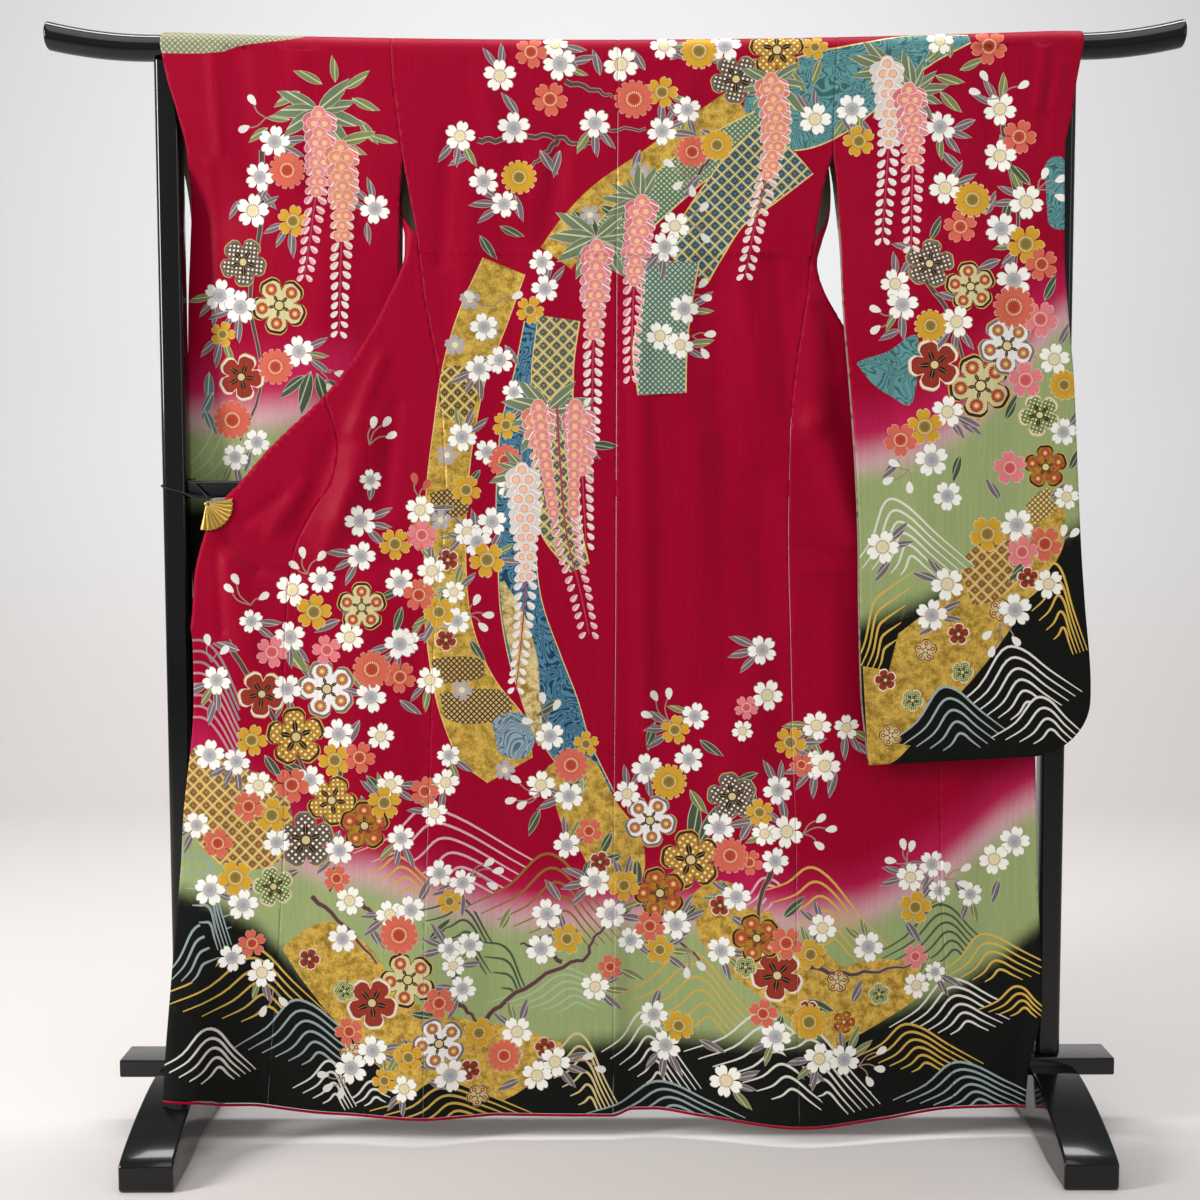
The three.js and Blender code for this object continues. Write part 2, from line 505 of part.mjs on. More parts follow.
// One side of the kimono: its back panel's edge and its front panel's path round the fold.
function makeSide(sign, frontRows, backEdgeRows) {
  const front = table(frontRows, 'z');
  const backEdge = column(backEdgeRows, 'z', 'edge');
  const parting = backEdgeRows[0].z;
  const sideEdge = (z) => (z > parting ? backEdge(z) : front.edge(z));

  // The point of the front panel at distance s from its start, at height z.
  const onPath = (s, z) => {
    const far = front.far(z);
    const near = front.near(z) + Math.min(0, ripple(sign * front.fold(z), z));
    const radius = (far - near) / 2;
    const tangent = front.fold(z) - radius;
    const turn = front.turn(z);
    const start = turn * Math.PI * radius + (2 * turn - 1) * (tangent - front.edge(z));
    const t = start + s;
    if (t <= 0) {
      const x = sign * (tangent + t);
      const fade = Math.min(1, t / Math.max(start, -40));
      const y = mix(near, front.near(z) + ripple(x, z), fade);
      return new THREE.Vector3(x, turn > 0 ? near : y, z);
    }
    if (t < Math.PI * radius) {
      const angle = t / radius;
      const y = near + radius * (1 - Math.cos(angle));
      return new THREE.Vector3(sign * (tangent + radius * Math.sin(angle)), y, z);
    }
    return new THREE.Vector3(sign * (tangent - (t - Math.PI * radius)), far, z);
  };
  // The same point with the direction it faces.
  const frontPoint = (s, z) => {
    const point = onPath(s, z);
    const across = onPath(s + 0.5, z).sub(onPath(s - 0.5, z));
    const along = onPath(s, z + 0.5).sub(onPath(s, z - 0.5));
    point.facing = across.cross(along).normalize();
    return point;
  };
  // The distance at a share of the way from one seam to the other, with close steps round the fold.
  const place = (share, from, to, z) => {
    const radius = (front.far(z) - front.near(z)) / 2;
    const tangent = front.fold(z) - radius - front.edge(z);
    const bendFrom = Math.min(to, Math.max(from, tangent));
    const bendTo = Math.min(to, Math.max(from, tangent + Math.PI * radius));
    const bend = (bendTo - bendFrom) * BEND_WEIGHT;
    const reach = share * (to - from + bend - (bendTo - bendFrom));
    if (reach < bendFrom - from) return from + reach;
    if (reach < bendFrom - from + bend) return bendFrom + (reach - (bendFrom - from)) / BEND_WEIGHT;
    return bendTo + reach - (bendFrom - from) - bend;
  };
  // The point of a row near the hem, where the height depends on how far out it is.
  const frontRowPoint = (share, row, from, to) => {
    const guess = front.edge(row) + mix(from(row), to(row), share);
    const z = rowHeight(row, sign * guess);
    return frontPoint(place(share, from(z), to(z), z), z);
  };
  return { sign, front, sideEdge, frontPoint, frontRowPoint };
}

const left = makeSide(-1, LEFT_FRONT, LEFT_BACK_EDGE);
const right = makeSide(1, RIGHT_FRONT, RIGHT_BACK_EDGE);

// From the hem up the near side, over the bar and down to the shoulder behind it.
function backPanel(side) {
  const columns = steps(8);
  const { sign } = side;
  const outward = (share, z) => {
    const inner = sign * hang.seam(z) + GAP / 2;
    return mix(inner, side.sideEdge(z) - GAP / 2, share);
  };
  const rows = [...ROWS, SHOULDER, BAR_HEIGHT].map((row) => columns.map((share) => {
    const z = rowHeight(row, sign * outward(share, row));
    const x = sign * outward(share, z);
    const settle = Math.min(1, (BAR_HEIGHT - z) / 60);
    return new THREE.Vector3(x, hang.y(z) + settle * ripple(x, z), z);
  }));
  const across = columns.map((share) => sign * outward(share, BAR_HEIGHT));
  for (let k = 1; k <= WRAP_STEPS; k += 1) {
    const angle = (k / WRAP_STEPS) * Math.PI;
    const y = -WRAP_RADIUS * Math.cos(angle);
    const z = BAR_HEIGHT + WRAP_RADIUS * Math.sin(angle);
    rows.push(across.map((x) => new THREE.Vector3(x, y, z)));
  }
  rows.push(columns.map((share) => {
    return new THREE.Vector3(sign * outward(share, SHOULDER), side.front.far(SHOULDER), SHOULDER);
  }));
  return wall(rows);
}

// The front half of the body: from the shoulder behind the bar to the hem, side seam to overlap.
function frontPanel(side) {
  const from = () => GAP / 2;
  const to = (z) => side.front.okumi(z) - GAP / 2;
  const rows = [...ROWS, SHOULDER - GAP].map((row) => steps(9).map((share) => {
    return side.frontRowPoint(share, row, from, to);
  }));
  return wall(rows);
}

// The narrow overlap panel on the front edge.
function okumiPanel(side) {
  const from = (z) => side.front.okumi(z) + GAP / 2;
  const to = (z) => side.front.width(z) - GAP / 2;
  const rows = ROWS.filter((row) => row <= OKUMI_TOP).map((row) => steps(5).map((share) => {
    return side.frontRowPoint(share, row, from, to);
  }));
  return wall(rows);
}

// The collar: up one front edge, across the neck behind the bar, and down the other edge.
function collar() {
  const shares = steps(3);
  const neckTop = SHOULDER - GAP;
  const neckBottom = neckTop - COLLAR_WIDTH;
  const climb = ROWS.filter((row) => row > COLLAR_END && row < neckBottom - 20);
  const onEdge = (side, z, share) => {
    return side.frontPoint(side.front.width(z) + GAP / 2 + share * COLLAR_WIDTH, z);
  };
  const edge = (side) => [COLLAR_END + GAP, ...climb, neckBottom].map((z) => {
    return shares.map((share) => onEdge(side, z, share));
  });
  // Each row of the corner runs from the outer edge, up then inward, to the turn of the inner edge.
  const corner = (side) => [0.5, 1, 1.5].map((turn) => {
    const outer = onEdge(side, mix(neckBottom, neckTop, Math.min(1, turn)), 0);
    const inner = onEdge(side, neckBottom, 1);
    outer.x = mix(outer.x, inner.x, Math.max(0, turn - 1));
    inner.add(new THREE.Vector3(-side.sign * 3 * turn, 0, 3 * turn));
    return shares.map((share) => outer.clone().lerp(inner, share));
  });
  const across = [-24, 0, 24].map((x) => shares.map((share) => {
    const z = mix(neckTop, neckBottom + 6, share);
    return new THREE.Vector3(x, left.front.far(z), z);
  }));
  return wall([
    ...edge(left), ...corner(left), ...across, ...corner(right).reverse(), ...edge(right).reverse(),
  ]);
}

// The lining rolled out below the hem, from one front edge to the other.
function hemRoll() {
  const height = 4;
  const thickness = 3;
  const line = [];
  const frontHem = (side) => steps(14).map((share) => {
    return side.frontRowPoint(share, 0, () => 0, (z) => side.front.width(z));
  });
  const backHem = (side) => steps(8).slice(0, -1).map((share) => {
    const x = side.sign * mix(side.sign * hang.seam(0), side.sideEdge(0), share);
    const z = rowHeight(0, x);
    return new THREE.Vector3(x, hang.y(z) + ripple(x, z), z);
  });
  line.push(...frontHem(left).reverse(), ...backHem(left).reverse());
  line.push(...backHem(right).slice(1), ...frontHem(right));
  return loft(line.map((point, i) => {
    const next = line[Math.min(i + 1, line.length - 1)];
    const previous = line[Math.max(i - 1, 0)];
    const along = next.clone().sub(previous).setZ(0).normalize();
    const forward = new THREE.Vector3(along.y, -along.x, 0);
    const centre = point.clone().add(new THREE.Vector3(0, 0, -GAP - height / 2 - 0.5));
    return [[-1, -0.5], [-1, 0.5], [0, 1], [1, 0.5], [1, -0.5], [0, -1]].map(([side, up]) => {
      return centre.clone()
        .addScaledVector(forward, (-side * thickness) / 2)
        .add(new THREE.Vector3(0, 0, (up * height) / 2));
    });
  }));
}

addPiece('back_left', backPanel(left), SILK);
addPiece('back_right', backPanel(right), SILK);
addPiece('front_left', frontPanel(left), SILK);
addPiece('front_right', frontPanel(right), SILK);
addPiece('okumi_left', okumiPanel(left), SILK);
addPiece('okumi_right', okumiPanel(right), SILK);
addPiece('collar', collar(), SILK);
addPiece('hem_roll', hemRoll(), LINING);

// ---- Sleeves --------------------------------------------------------------------------------

// One length of cloth folded over the bar. Below the wrist its outer edges meet, at the bottom
// its ends meet, and along the inner edge it stays open.
function sleeve(side, size) {
  const at = table(size.rows, 'z');
  const columns = steps(8);
  const armhole = ROWS.filter((row) => row >= ARMHOLE);
  const inner = (z) => (z >= ARMHOLE ? side.sideEdge(z) + GAP / 2 : at.inner(z));
  const point = (share, row, layer) => {
    const rise = row - size.bottom;
    const corner = Math.max(0, SLEEVE_CORNER - rise);
    const cut = SLEEVE_CORNER - Math.sqrt(SLEEVE_CORNER ** 2 - corner ** 2);
    const z = row + size.slope * share * Math.max(0, 1 - rise / SLEEVE_BLEND);
    const outer = (layer < 0 ? at.outer(z) : at.farOuter(z)) - cut;
    const nearY = mix(at.nearIn(z), at.nearOut(z), share ** 3);
    const farY = mix(at.farIn(z), at.farOut(z), share ** 3);
    const closed = Math.max(0, 1 - rise / SLEEVE_CLOSING) ** 2;
    const edge = Math.min(1, Math.max(0, (share - 0.75) / 0.25)) * Math.min(1, corner / 40);
    const half = mix((farY - nearY) / 2, SLEEVE_SEAM / 2, Math.max(closed, edge ** 2));
    const y = (nearY + farY) / 2 + layer * half;
    return new THREE.Vector3(side.sign * mix(inner(z), outer, share), y, z);
  };
  const rows = [
    ...SLEEVE_RISES.map((rise) => size.bottom + rise), ...SLEEVE_ROWS, ...armhole, SHOULDER,
  ];
  const near = rows.map((row) => columns.map((share) => point(share, row, -1)));
  const far = rows.map((row) => columns.map((share) => point(share, row, 1)));
  const over = steps(WRAP_STEPS).map((turn) => columns.map((share) => {
    const angle = turn * Math.PI;
    const x = side.sign * mix(inner(BAR_HEIGHT), at.outer(BAR_HEIGHT), share);
    const z = BAR_HEIGHT + WRAP_RADIUS * Math.sin(angle);
    return new THREE.Vector3(x, -WRAP_RADIUS * Math.cos(angle), z);
  }));
  return wall([...near, ...over, ...far.reverse()]);
}

addPiece('sleeve_left', sleeve(left, LEFT_SLEEVE), SILK);
addPiece('sleeve_right', sleeve(right, RIGHT_SLEEVE), SILK);

// ---- Clip at the left front edge, tied to the post --------------------------------------------

const CLIP = {
  x: -617,                       // the rivet
  z: 972,
  rivetRadius: 3,
  inner: 5,                      // the fan's pleats run from inner to outer
  outer: 45,
  from: -104,                    // the fan's sides, in degrees from +X
  to: 8,
  pleats: 10,
  pleatDepth: 1.4,
  thickness: 1.6,
};

function clipFan() {
  const surface = left.front.near(CLIP.z) - CLOTH / 2 - GAP - CLIP.thickness / 2 - CLIP.pleatDepth;
  const turns = steps(2 * CLIP.pleats);
  const radii = [CLIP.inner, 18, 32, CLIP.outer];
  return wall(turns.map((turn, i) => radii.map((radius) => {
    const angle = THREE.MathUtils.degToRad(mix(CLIP.from, CLIP.to, turn));
    const pleat = (i % 2 === 0 ? 1 : -1) * CLIP.pleatDepth * (radius / CLIP.outer);
    const x = CLIP.x + radius * Math.cos(angle);
    const z = CLIP.z + radius * Math.sin(angle);
    return new THREE.Vector3(x, surface + pleat, z);
  })), CLIP.thickness);
}

// The plate behind the cloth that the fan grips it against, and the rivet that joins them.
const JAW_FRONT = left.front.far(CLIP.z) + CLOTH / 2 + GAP;
const JAW_THICKNESS = 1.6;

function clipJaw() {
  const shape = new THREE.Shape();
  shape.moveTo(-5, -8);
  shape.lineTo(34, -6);
  shape.lineTo(38, 10);
  shape.lineTo(8, 9);
  shape.lineTo(-5, 3);
  const geometry = new THREE.ExtrudeGeometry(shape, { depth: JAW_THICKNESS, bevelEnabled: false });
  geometry.rotateX(Math.PI / 2);
  geometry.translate(CLIP.x, JAW_FRONT + JAW_THICKNESS, CLIP.z);
  return geometry;
}

function clipRivet() {
  const front = left.front.near(CLIP.z) - 7;
  const length = JAW_FRONT - GAP - front;
  const geometry = new THREE.CylinderGeometry(CLIP.rivetRadius, CLIP.rivetRadius, length, 12);
  geometry.translate(CLIP.x, front + length / 2, CLIP.z);
  return geometry;
}

// A thin cord from the rivet over the middle rail, round the post and back.
function clipCord() {
  const radius = 1.2;
  const sides = 5;
  const clear = radius + GAP + 0.3;
  const face = POST_SIZE / 2 + clear;
  const railFace = MID_RAIL.depth / 2 + clear;
  const route = [
    [CLIP.x + 1, -24, CLIP.z + CLIP.rivetRadius + clear],
    [CLIP.x - 6, -railFace - 1, 986],
    [CLIP.x - 22, -railFace - 0.6, 1003],
    [CLIP.x - 25, -8, MID_RAIL.top + clear + 0.6],
    [CLIP.x - 27, 10, MID_RAIL.top + clear + 0.8],
    [-POST_AT + 13, face + 0.2, 1009],
    [-POST_AT, face + 0.2, 1007],
    [-POST_AT - 13, face - 0.4, 1005],
    [-POST_AT - face + 0.4, 13, 1003],
    [-POST_AT - face - 0.2, 0, 1001],
    [-POST_AT - face + 0.4, -13, 999],
    [-POST_AT - 13, -face + 0.4, 997],
    [-POST_AT, -face - 0.2, 993],
    [-POST_AT + 15, -face - 0.4, 989],
    [CLIP.x - CLIP.rivetRadius - clear, -24, CLIP.z + 1],
  ].map(([x, y, z]) => new THREE.Vector3(x, y, z));
  const curve = new THREE.CatmullRomCurve3(route, false, 'centripetal');
  const section = new THREE.Shape(steps(sides).slice(0, sides).map((turn) => {
    const angle = turn * 2 * Math.PI;
    return new THREE.Vector2(radius * Math.cos(angle), radius * Math.sin(angle));
  }));
  return new THREE.ExtrudeGeometry(section, { steps: 34, extrudePath: curve, bevelEnabled: false });
}

addPiece('clip_fan', clipFan(), GOLD);
addPiece('clip_jaw', clipJaw(), JAW_METAL);
addPiece('clip_rivet', clipRivet(), GOLD);
addPiece('clip_cord', clipCord(), CORD_BLACK);

export default kimono;
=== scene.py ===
# A silk furisode, hung with its back to the viewer over a black lacquered kimono stand.

import math

import bpy
import numpy as np
from mathutils import Matrix, Vector
from mathutils.geometry import delaunay_2d_cdt


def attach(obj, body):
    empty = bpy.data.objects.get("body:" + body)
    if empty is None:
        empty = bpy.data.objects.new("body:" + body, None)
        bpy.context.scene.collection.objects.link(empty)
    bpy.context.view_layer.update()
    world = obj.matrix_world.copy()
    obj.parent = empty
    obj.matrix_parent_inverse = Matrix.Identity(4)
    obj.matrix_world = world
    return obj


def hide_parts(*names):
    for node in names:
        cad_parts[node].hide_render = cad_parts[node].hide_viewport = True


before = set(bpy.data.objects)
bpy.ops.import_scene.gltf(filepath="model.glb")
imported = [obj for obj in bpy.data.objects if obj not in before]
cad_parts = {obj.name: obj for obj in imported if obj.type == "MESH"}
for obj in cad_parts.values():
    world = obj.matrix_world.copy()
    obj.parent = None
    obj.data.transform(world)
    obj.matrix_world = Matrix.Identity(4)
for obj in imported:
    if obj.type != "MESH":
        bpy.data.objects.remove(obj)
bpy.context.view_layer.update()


# ---- Camera ---------------------------------------------------------------------------------
# A long lens at chest height, two and a half metres in front of the bar and tipped slightly
# down, so that the whole kimono and both feet of the stand fill the frame.

EYE = np.array([-0.0265, -2.5, 0.9995])
PITCH, YAW, ROLL = math.radians(4.03), math.radians(0.04), math.radians(-0.13)
FRAME_PIXELS = 1200
FOCAL_PIXELS = 1634.5
SENSOR_MM = 36

ahead = np.array([math.sin(YAW) * math.cos(PITCH), math.cos(YAW) * math.cos(PITCH), -math.sin(PITCH)])
level = np.array([math.cos(YAW), -math.sin(YAW), 0.0])
upright = np.cross(level, ahead)
rightward = level * math.cos(ROLL) + upright * math.sin(ROLL)
upward = upright * math.cos(ROLL) - level * math.sin(ROLL)

camera_data = bpy.data.cameras.new("camera")
camera_data.sensor_width = SENSOR_MM
camera_data.lens = FOCAL_PIXELS / FRAME_PIXELS * SENSOR_MM
camera_data.clip_end = 60
camera = bpy.data.objects.new("camera", camera_data)
camera.matrix_world = Matrix(np.block([
    [np.column_stack([rightward, upward, -ahead]), EYE[:, None]],
    [np.zeros((1, 3)), np.ones((1, 1))],
]).tolist())
bpy.context.scene.collection.objects.link(camera)
bpy.context.scene.camera = camera


# ---- Floor and light --------------------------------------------------------------------------
# A pale paper sweep: level under the stand and curving up into the wall three metres behind it.
# A tall soft box on the left is the key; weaker ones stand on the right, above and at the back.

SWEEP_HALF_WIDTH = 9.0
SWEEP_FRONT, SWEEP_BEND, SWEEP_RADIUS, SWEEP_TOP = -7.0, 2.5, 1.5, 7.0
FLOOR_COLOUR, WALL_COLOUR = "#CFCAC7", "#D6D6D7"


def colour_of(code):
    """A #RRGGBB colour as three linear values: the sRGB curve undone."""
    s = np.array([int(code[i:i + 2], 16) for i in (1, 3, 5)]) / 255
    return np.where(s <= 0.04045, s / 12.92, ((s + 0.055) / 1.055) ** 2.4)


def rgba(code):
    return (*colour_of(code).tolist(), 1.0)


def add(tree, kind, inputs=None, **settings):
    """Adds one shader node. inputs gives each socket, by name or number, a value or another socket."""
    node = tree.nodes.new("ShaderNode" + kind)
    for name, value in settings.items():
        setattr(node, name, value)
    for name, value in (inputs or {}).items():
        if isinstance(value, bpy.types.NodeSocket):
            tree.links.new(value, node.inputs[name])
        else:
            node.inputs[name].default_value = value
    return node


def new_material(name):
    """An empty material with its Principled shader, ready to be linked."""
    material = bpy.data.materials.new(name)
    material.use_nodes = True
    tree = material.node_tree
    shader = tree.nodes["Principled BSDF"]
    return material, tree, shader


def seamless_paper():
    """Matt paper, faintly warmer where it lies on the floor; no grain shows from here."""
    material, tree, shader = new_material("seamless_paper")
    place = add(tree, "TexCoord").outputs["Object"]
    height = add(tree, "SeparateXYZ", {0: place}).outputs["Z"]
    rise = add(tree, "MapRange", {0: height, 1: 0.0, 2: 1.2}, interpolation_type="SMOOTHSTEP")
    tone = add(tree, "Mix", {0: rise.outputs[0], 6: rgba(FLOOR_COLOUR), 7: rgba(WALL_COLOUR)},
               data_type="RGBA")
    cloud = add(tree, "TexNoise", {"Vector": place, "Scale": 0.8, "Detail": 2.0})
    rough = add(tree, "MapRange", {0: cloud.outputs[0], 3: 0.75, 4: 0.95})
    tree.links.new(tone.outputs[2], shader.inputs["Base Color"])
    tree.links.new(rough.outputs[0], shader.inputs["Roughness"])
    shader.inputs["Specular IOR Level"].default_value = 0.2
    return material


def grid_quads(rows, cols):
    """The corner numbers of a grid's points, and its quads between neighbours."""
    corner = np.arange(rows * cols).reshape(rows, cols)
    quads = np.stack([corner[:-1, :-1], corner[:-1, 1:], corner[1:, 1:], corner[1:, :-1]], -1)
    return corner, quads.reshape(-1, 4)


def sheet_mesh(name, grid):
    """A mesh over a grid of points, facing along rows x columns."""
    _, quads = grid_quads(*grid.shape[:2])
    mesh = bpy.data.meshes.new(name)
    mesh.from_pydata(grid.reshape(-1, 3).tolist(), [], quads.tolist())
    mesh.polygons.foreach_set("use_smooth", np.ones(len(mesh.polygons), bool))
    return mesh


def place_object(name, mesh, *materials):
    piece = bpy.data.objects.new(name, mesh)
    for material in materials:
        mesh.materials.append(material)
    bpy.context.scene.collection.objects.link(piece)
    return piece


# The sweep's profile: level, a quarter turn, then upright.
turn = np.linspace(0, math.pi / 2, 24)
profile = np.concatenate([
    [[SWEEP_FRONT, 0], [0, 0]],
    np.column_stack([SWEEP_BEND + SWEEP_RADIUS * np.sin(turn), SWEEP_RADIUS * (1 - np.cos(turn))]),
    [[SWEEP_BEND + SWEEP_RADIUS, SWEEP_TOP]],
])
across = np.linspace(-SWEEP_HALF_WIDTH, SWEEP_HALF_WIDTH, 9)
sweep = np.stack(np.broadcast_arrays(across[None, :], profile[:, :1], profile[:, 1:]), -1)
place_object("paper_sweep", sheet_mesh("paper_sweep", sweep), seamless_paper())

world = bpy.data.worlds.new("studio")
world.use_nodes = True
world.node_tree.nodes["Background"].inputs[0].default_value = rgba("#EDEFF2")
world.node_tree.nodes["Background"].inputs[1].default_value = 0.44
bpy.context.scene.world = world
bpy.context.scene.view_settings.view_transform = "Standard"     # dye colours come out as written


def soft_box(name, place, aim, width, height, watts):
    """A rectangular area light at place, facing aim."""
    data = bpy.data.lights.new(name, "AREA")
    data.shape = "RECTANGLE"
    data.size, data.size_y = width, height
    data.energy = watts
    light = bpy.data.objects.new(name, data)
    light.location = place
    light.rotation_euler = (Vector(aim) - Vector(place)).to_track_quat("-Z", "Y").to_euler()
    bpy.context.scene.collection.objects.link(light)


soft_box("left_box", (-3.2, -1.5, 2.1), (0.1, 0, 0.9), 0.6, 1.8, 120)
soft_box("right_box", (2.8, -2.5, 1.9), (0, 0, 0.9), 0.8, 2.2, 12)
soft_box("top_box", (0, -1.2, 3.6), (0, 0.4, 0.6), 3.0, 2.0, 40)
soft_box("backdrop_box", (0, 0.4, 3.1), (0, 2.6, 1.3), 3.2, 0.8, 105)


# ---- Stand ------------------------------------------------------------------------------------
# A knock-down stand of light wood under black lacquer: a round bar, turned up at its ends, rests
# on two square posts with softened edges, which two rails and a pair of arched feet hold upright.

GAP = 0.3
BAR_HALF, BAR_RADIUS, BAR_END_RADIUS = 850, 19.5, 21
BAR_HEIGHT, BAR_RISE, BAR_CURVE = 1653, 19, 690
SAG, SAG_HALF, SAG_FROM, SAG_FULL = 11.5, 650, 1372, 1620
POST_AT, POST_SIZE, POST_ROUND = 670, 37, 9
MID_RAIL = dict(bottom=981, top=1007, depth=24, half=651.2, round=5)
LOWER_RAIL = dict(bottom=88, top=115, depth=66, half=768, round=2.5)
FOOT_HALF, FOOT_CREST, FOOT_CREST_HALF, FOOT_TOE = 251, 101, 62, 38
FOOT_WIDTH, FOOT_TOE_WIDTH, FOOT_ROUND, FOOT_CHAMFER = 72, 78, 4, 6
ARCH_FROM, ARCH_RISE = 150, 12
MM = 0.001


def black_lacquer():
    """Polished black lacquer over wood: a deep black body under a clear coat that mirrors the lights,
    with the faint long waviness of a hand-rubbed surface and a trace of dust."""
    material, tree, shader = new_material("black_lacquer")
    place = add(tree, "TexCoord").outputs["Object"]
    wave = add(tree, "TexNoise", {"Vector": place, "Scale": 14.0, "Detail": 2.0})
    dust = add(tree, "TexNoise", {"Vector": place, "Scale": 420.0, "Detail": 3.0})
    speck = add(tree, "MapRange", {0: dust.outputs[0], 1: 0.6, 2: 0.85, 3: 0.0, 4: 0.35})
    tone = add(tree, "Mix", {0: speck.outputs[0], 6: rgba("#070708"), 7: rgba("#16161A")}, data_type="RGBA")
    rough = add(tree, "MapRange", {0: wave.outputs[0], 3: 0.1, 4: 0.2})
    bump = add(tree, "Bump", {"Strength": 0.06, "Distance": 0.002, "Height": wave.outputs[0]})
    tree.links.new(tone.outputs[2], shader.inputs["Base Color"])
    tree.links.new(rough.outputs[0], shader.inputs["Roughness"])
    tree.links.new(bump.outputs[0], shader.inputs["Normal"])
    shader.inputs["Specular IOR Level"].default_value = 0.25
    shader.inputs["Coat Weight"].default_value = 0.3
    shader.inputs["Coat Roughness"].default_value = 0.05
    return material


LACQUER = black_lacquer()


def sagged(points):
    """Lowers points near the bar as its middle sags: a parabola across, faded in by height."""
    share = np.clip((points[..., 2] - SAG_FROM) / (SAG_FULL - SAG_FROM), 0, 1)
    low = SAG * np.maximum(0, 1 - (points[..., 0] / SAG_HALF) ** 2) * share
    return points - np.stack([np.zeros_like(low), np.zeros_like(low), low], -1)


def loft_mesh(name, rings, sharp=math.radians(35)):
    """A closed tube through rings (n, m, 3), in millimetres, with flat ends and faces outward."""
    count, sides = rings.shape[:2]
    corner = np.arange(count * sides).reshape(count, sides)
    beside = np.roll(corner, -1, 1)
    quads = np.stack([corner[:-1], beside[:-1], beside[1:], corner[1:]], -1).reshape(-1, 4)
    centre = rings.mean((0, 1))
    a, b, c = (rings.reshape(-1, 3)[quads[:, k]] for k in (0, 1, 2))
    if np.einsum("ij,ij->i", np.cross(b - a, c - a), a - centre).sum() < 0:
        quads = quads[:, ::-1]
        ends = [corner[0].tolist(), corner[-1][::-1].tolist()]
    else:
        ends = [corner[0][::-1].tolist(), corner[-1].tolist()]
    mesh = bpy.data.meshes.new(name)
    mesh.from_pydata((rings.reshape(-1, 3) * MM).tolist(), [], quads.tolist() + ends)
    mesh.polygons.foreach_set("use_smooth", np.ones(len(mesh.polygons), bool))
    mesh.set_sharp_from_angle(angle=sharp)
    return mesh


def rounded_rectangle(width, height, radius, steps=8):
    """Corner points of a rectangle with quarter-circle corners; sizes may be arrays, one ring each."""
    width, height, radius = (np.asarray(v, float)[..., None] for v in (width, height, radius))
    quarter = np.linspace(0, math.pi / 2, steps)
    angle = np.concatenate([quarter + k * math.pi / 2 for k in range(4)])
    side = np.repeat([[1, 1], [-1, 1], [-1, -1], [1, -1]], steps, axis=0)
    x = side[:, 0] * (width / 2 - radius) + radius * np.cos(angle)
    y = side[:, 1] * (height / 2 - radius) + radius * np.sin(angle)
    return x, y


def rigid(name, mesh, *materials):
    """A stand or clip piece that takes the place of the CAD node it is named after."""
    piece = place_object(name + "_finish", mesh, *materials)
    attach(piece, "root")
    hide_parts(name)
    return piece


# Bar: a circle carried along X, growing a little and rising towards each softly domed end.
dome = np.linspace(0, 1, 6)
along = np.unique(np.concatenate([np.linspace(0, BAR_CURVE, 24), np.linspace(BAR_CURVE, BAR_HALF - 4, 24)]))
x = np.concatenate([along, BAR_HALF - 4 + 4 * np.sin(dome[1:] * math.pi / 2)])
shrink = np.concatenate([np.zeros(len(along)), 4 * (1 - np.cos(dome[1:] * math.pi / 2))])
x, shrink = np.concatenate([-x[:0:-1], x]), np.concatenate([shrink[:0:-1], shrink])
rise = np.clip((np.abs(x) - BAR_CURVE) / (BAR_HALF - BAR_CURVE), 0, 1)
radius = BAR_RADIUS + (BAR_END_RADIUS - BAR_RADIUS) * rise - shrink
round_angle = np.linspace(0, 2 * math.pi, 48, endpoint=False)
rings = np.stack(np.broadcast_arrays(
    x[:, None],
    radius[:, None] * np.cos(round_angle),
    BAR_HEIGHT + BAR_RISE * rise[:, None] ** 2 + radius[:, None] * np.sin(round_angle),
), -1)
rigid("top_bar", loft_mesh("top_bar", sagged(rings)), LACQUER)

# Posts: a rounded square with its ends eased by a millimetre.
for side, name in ((-1, "post_left"), (1, "post_right")):
    z = np.array([115.3, 116.5, 1632, 1633.2])
    size = np.array([POST_SIZE - 2, POST_SIZE, POST_SIZE, POST_SIZE - 2])
    sx, sy = rounded_rectangle(size, size, np.full(4, POST_ROUND))
    rings = np.stack(np.broadcast_arrays(side * POST_AT + sx, sy, z[:, None]), -1)
    rigid(name, loft_mesh(name, rings), LACQUER)

# Rails: a rounded bar between the posts, and a flat board across the notches of the feet.
for rail, name in ((MID_RAIL, "mid_rail"), (LOWER_RAIL, "lower_rail")):
    x = np.array([-rail["half"], 1.5 - rail["half"], rail["half"] - 1.5, rail["half"]])
    inset = np.array([2, 0, 0, 2])
    high = rail["top"] - rail["bottom"]
    sy, sz = rounded_rectangle(rail["depth"] - inset, high - inset, np.full(4, rail["round"]))
    rings = np.stack(np.broadcast_arrays(x[:, None], sy, sz + (rail["top"] + rail["bottom"]) / 2), -1)
    rigid(name, loft_mesh(name, rings), LACQUER)

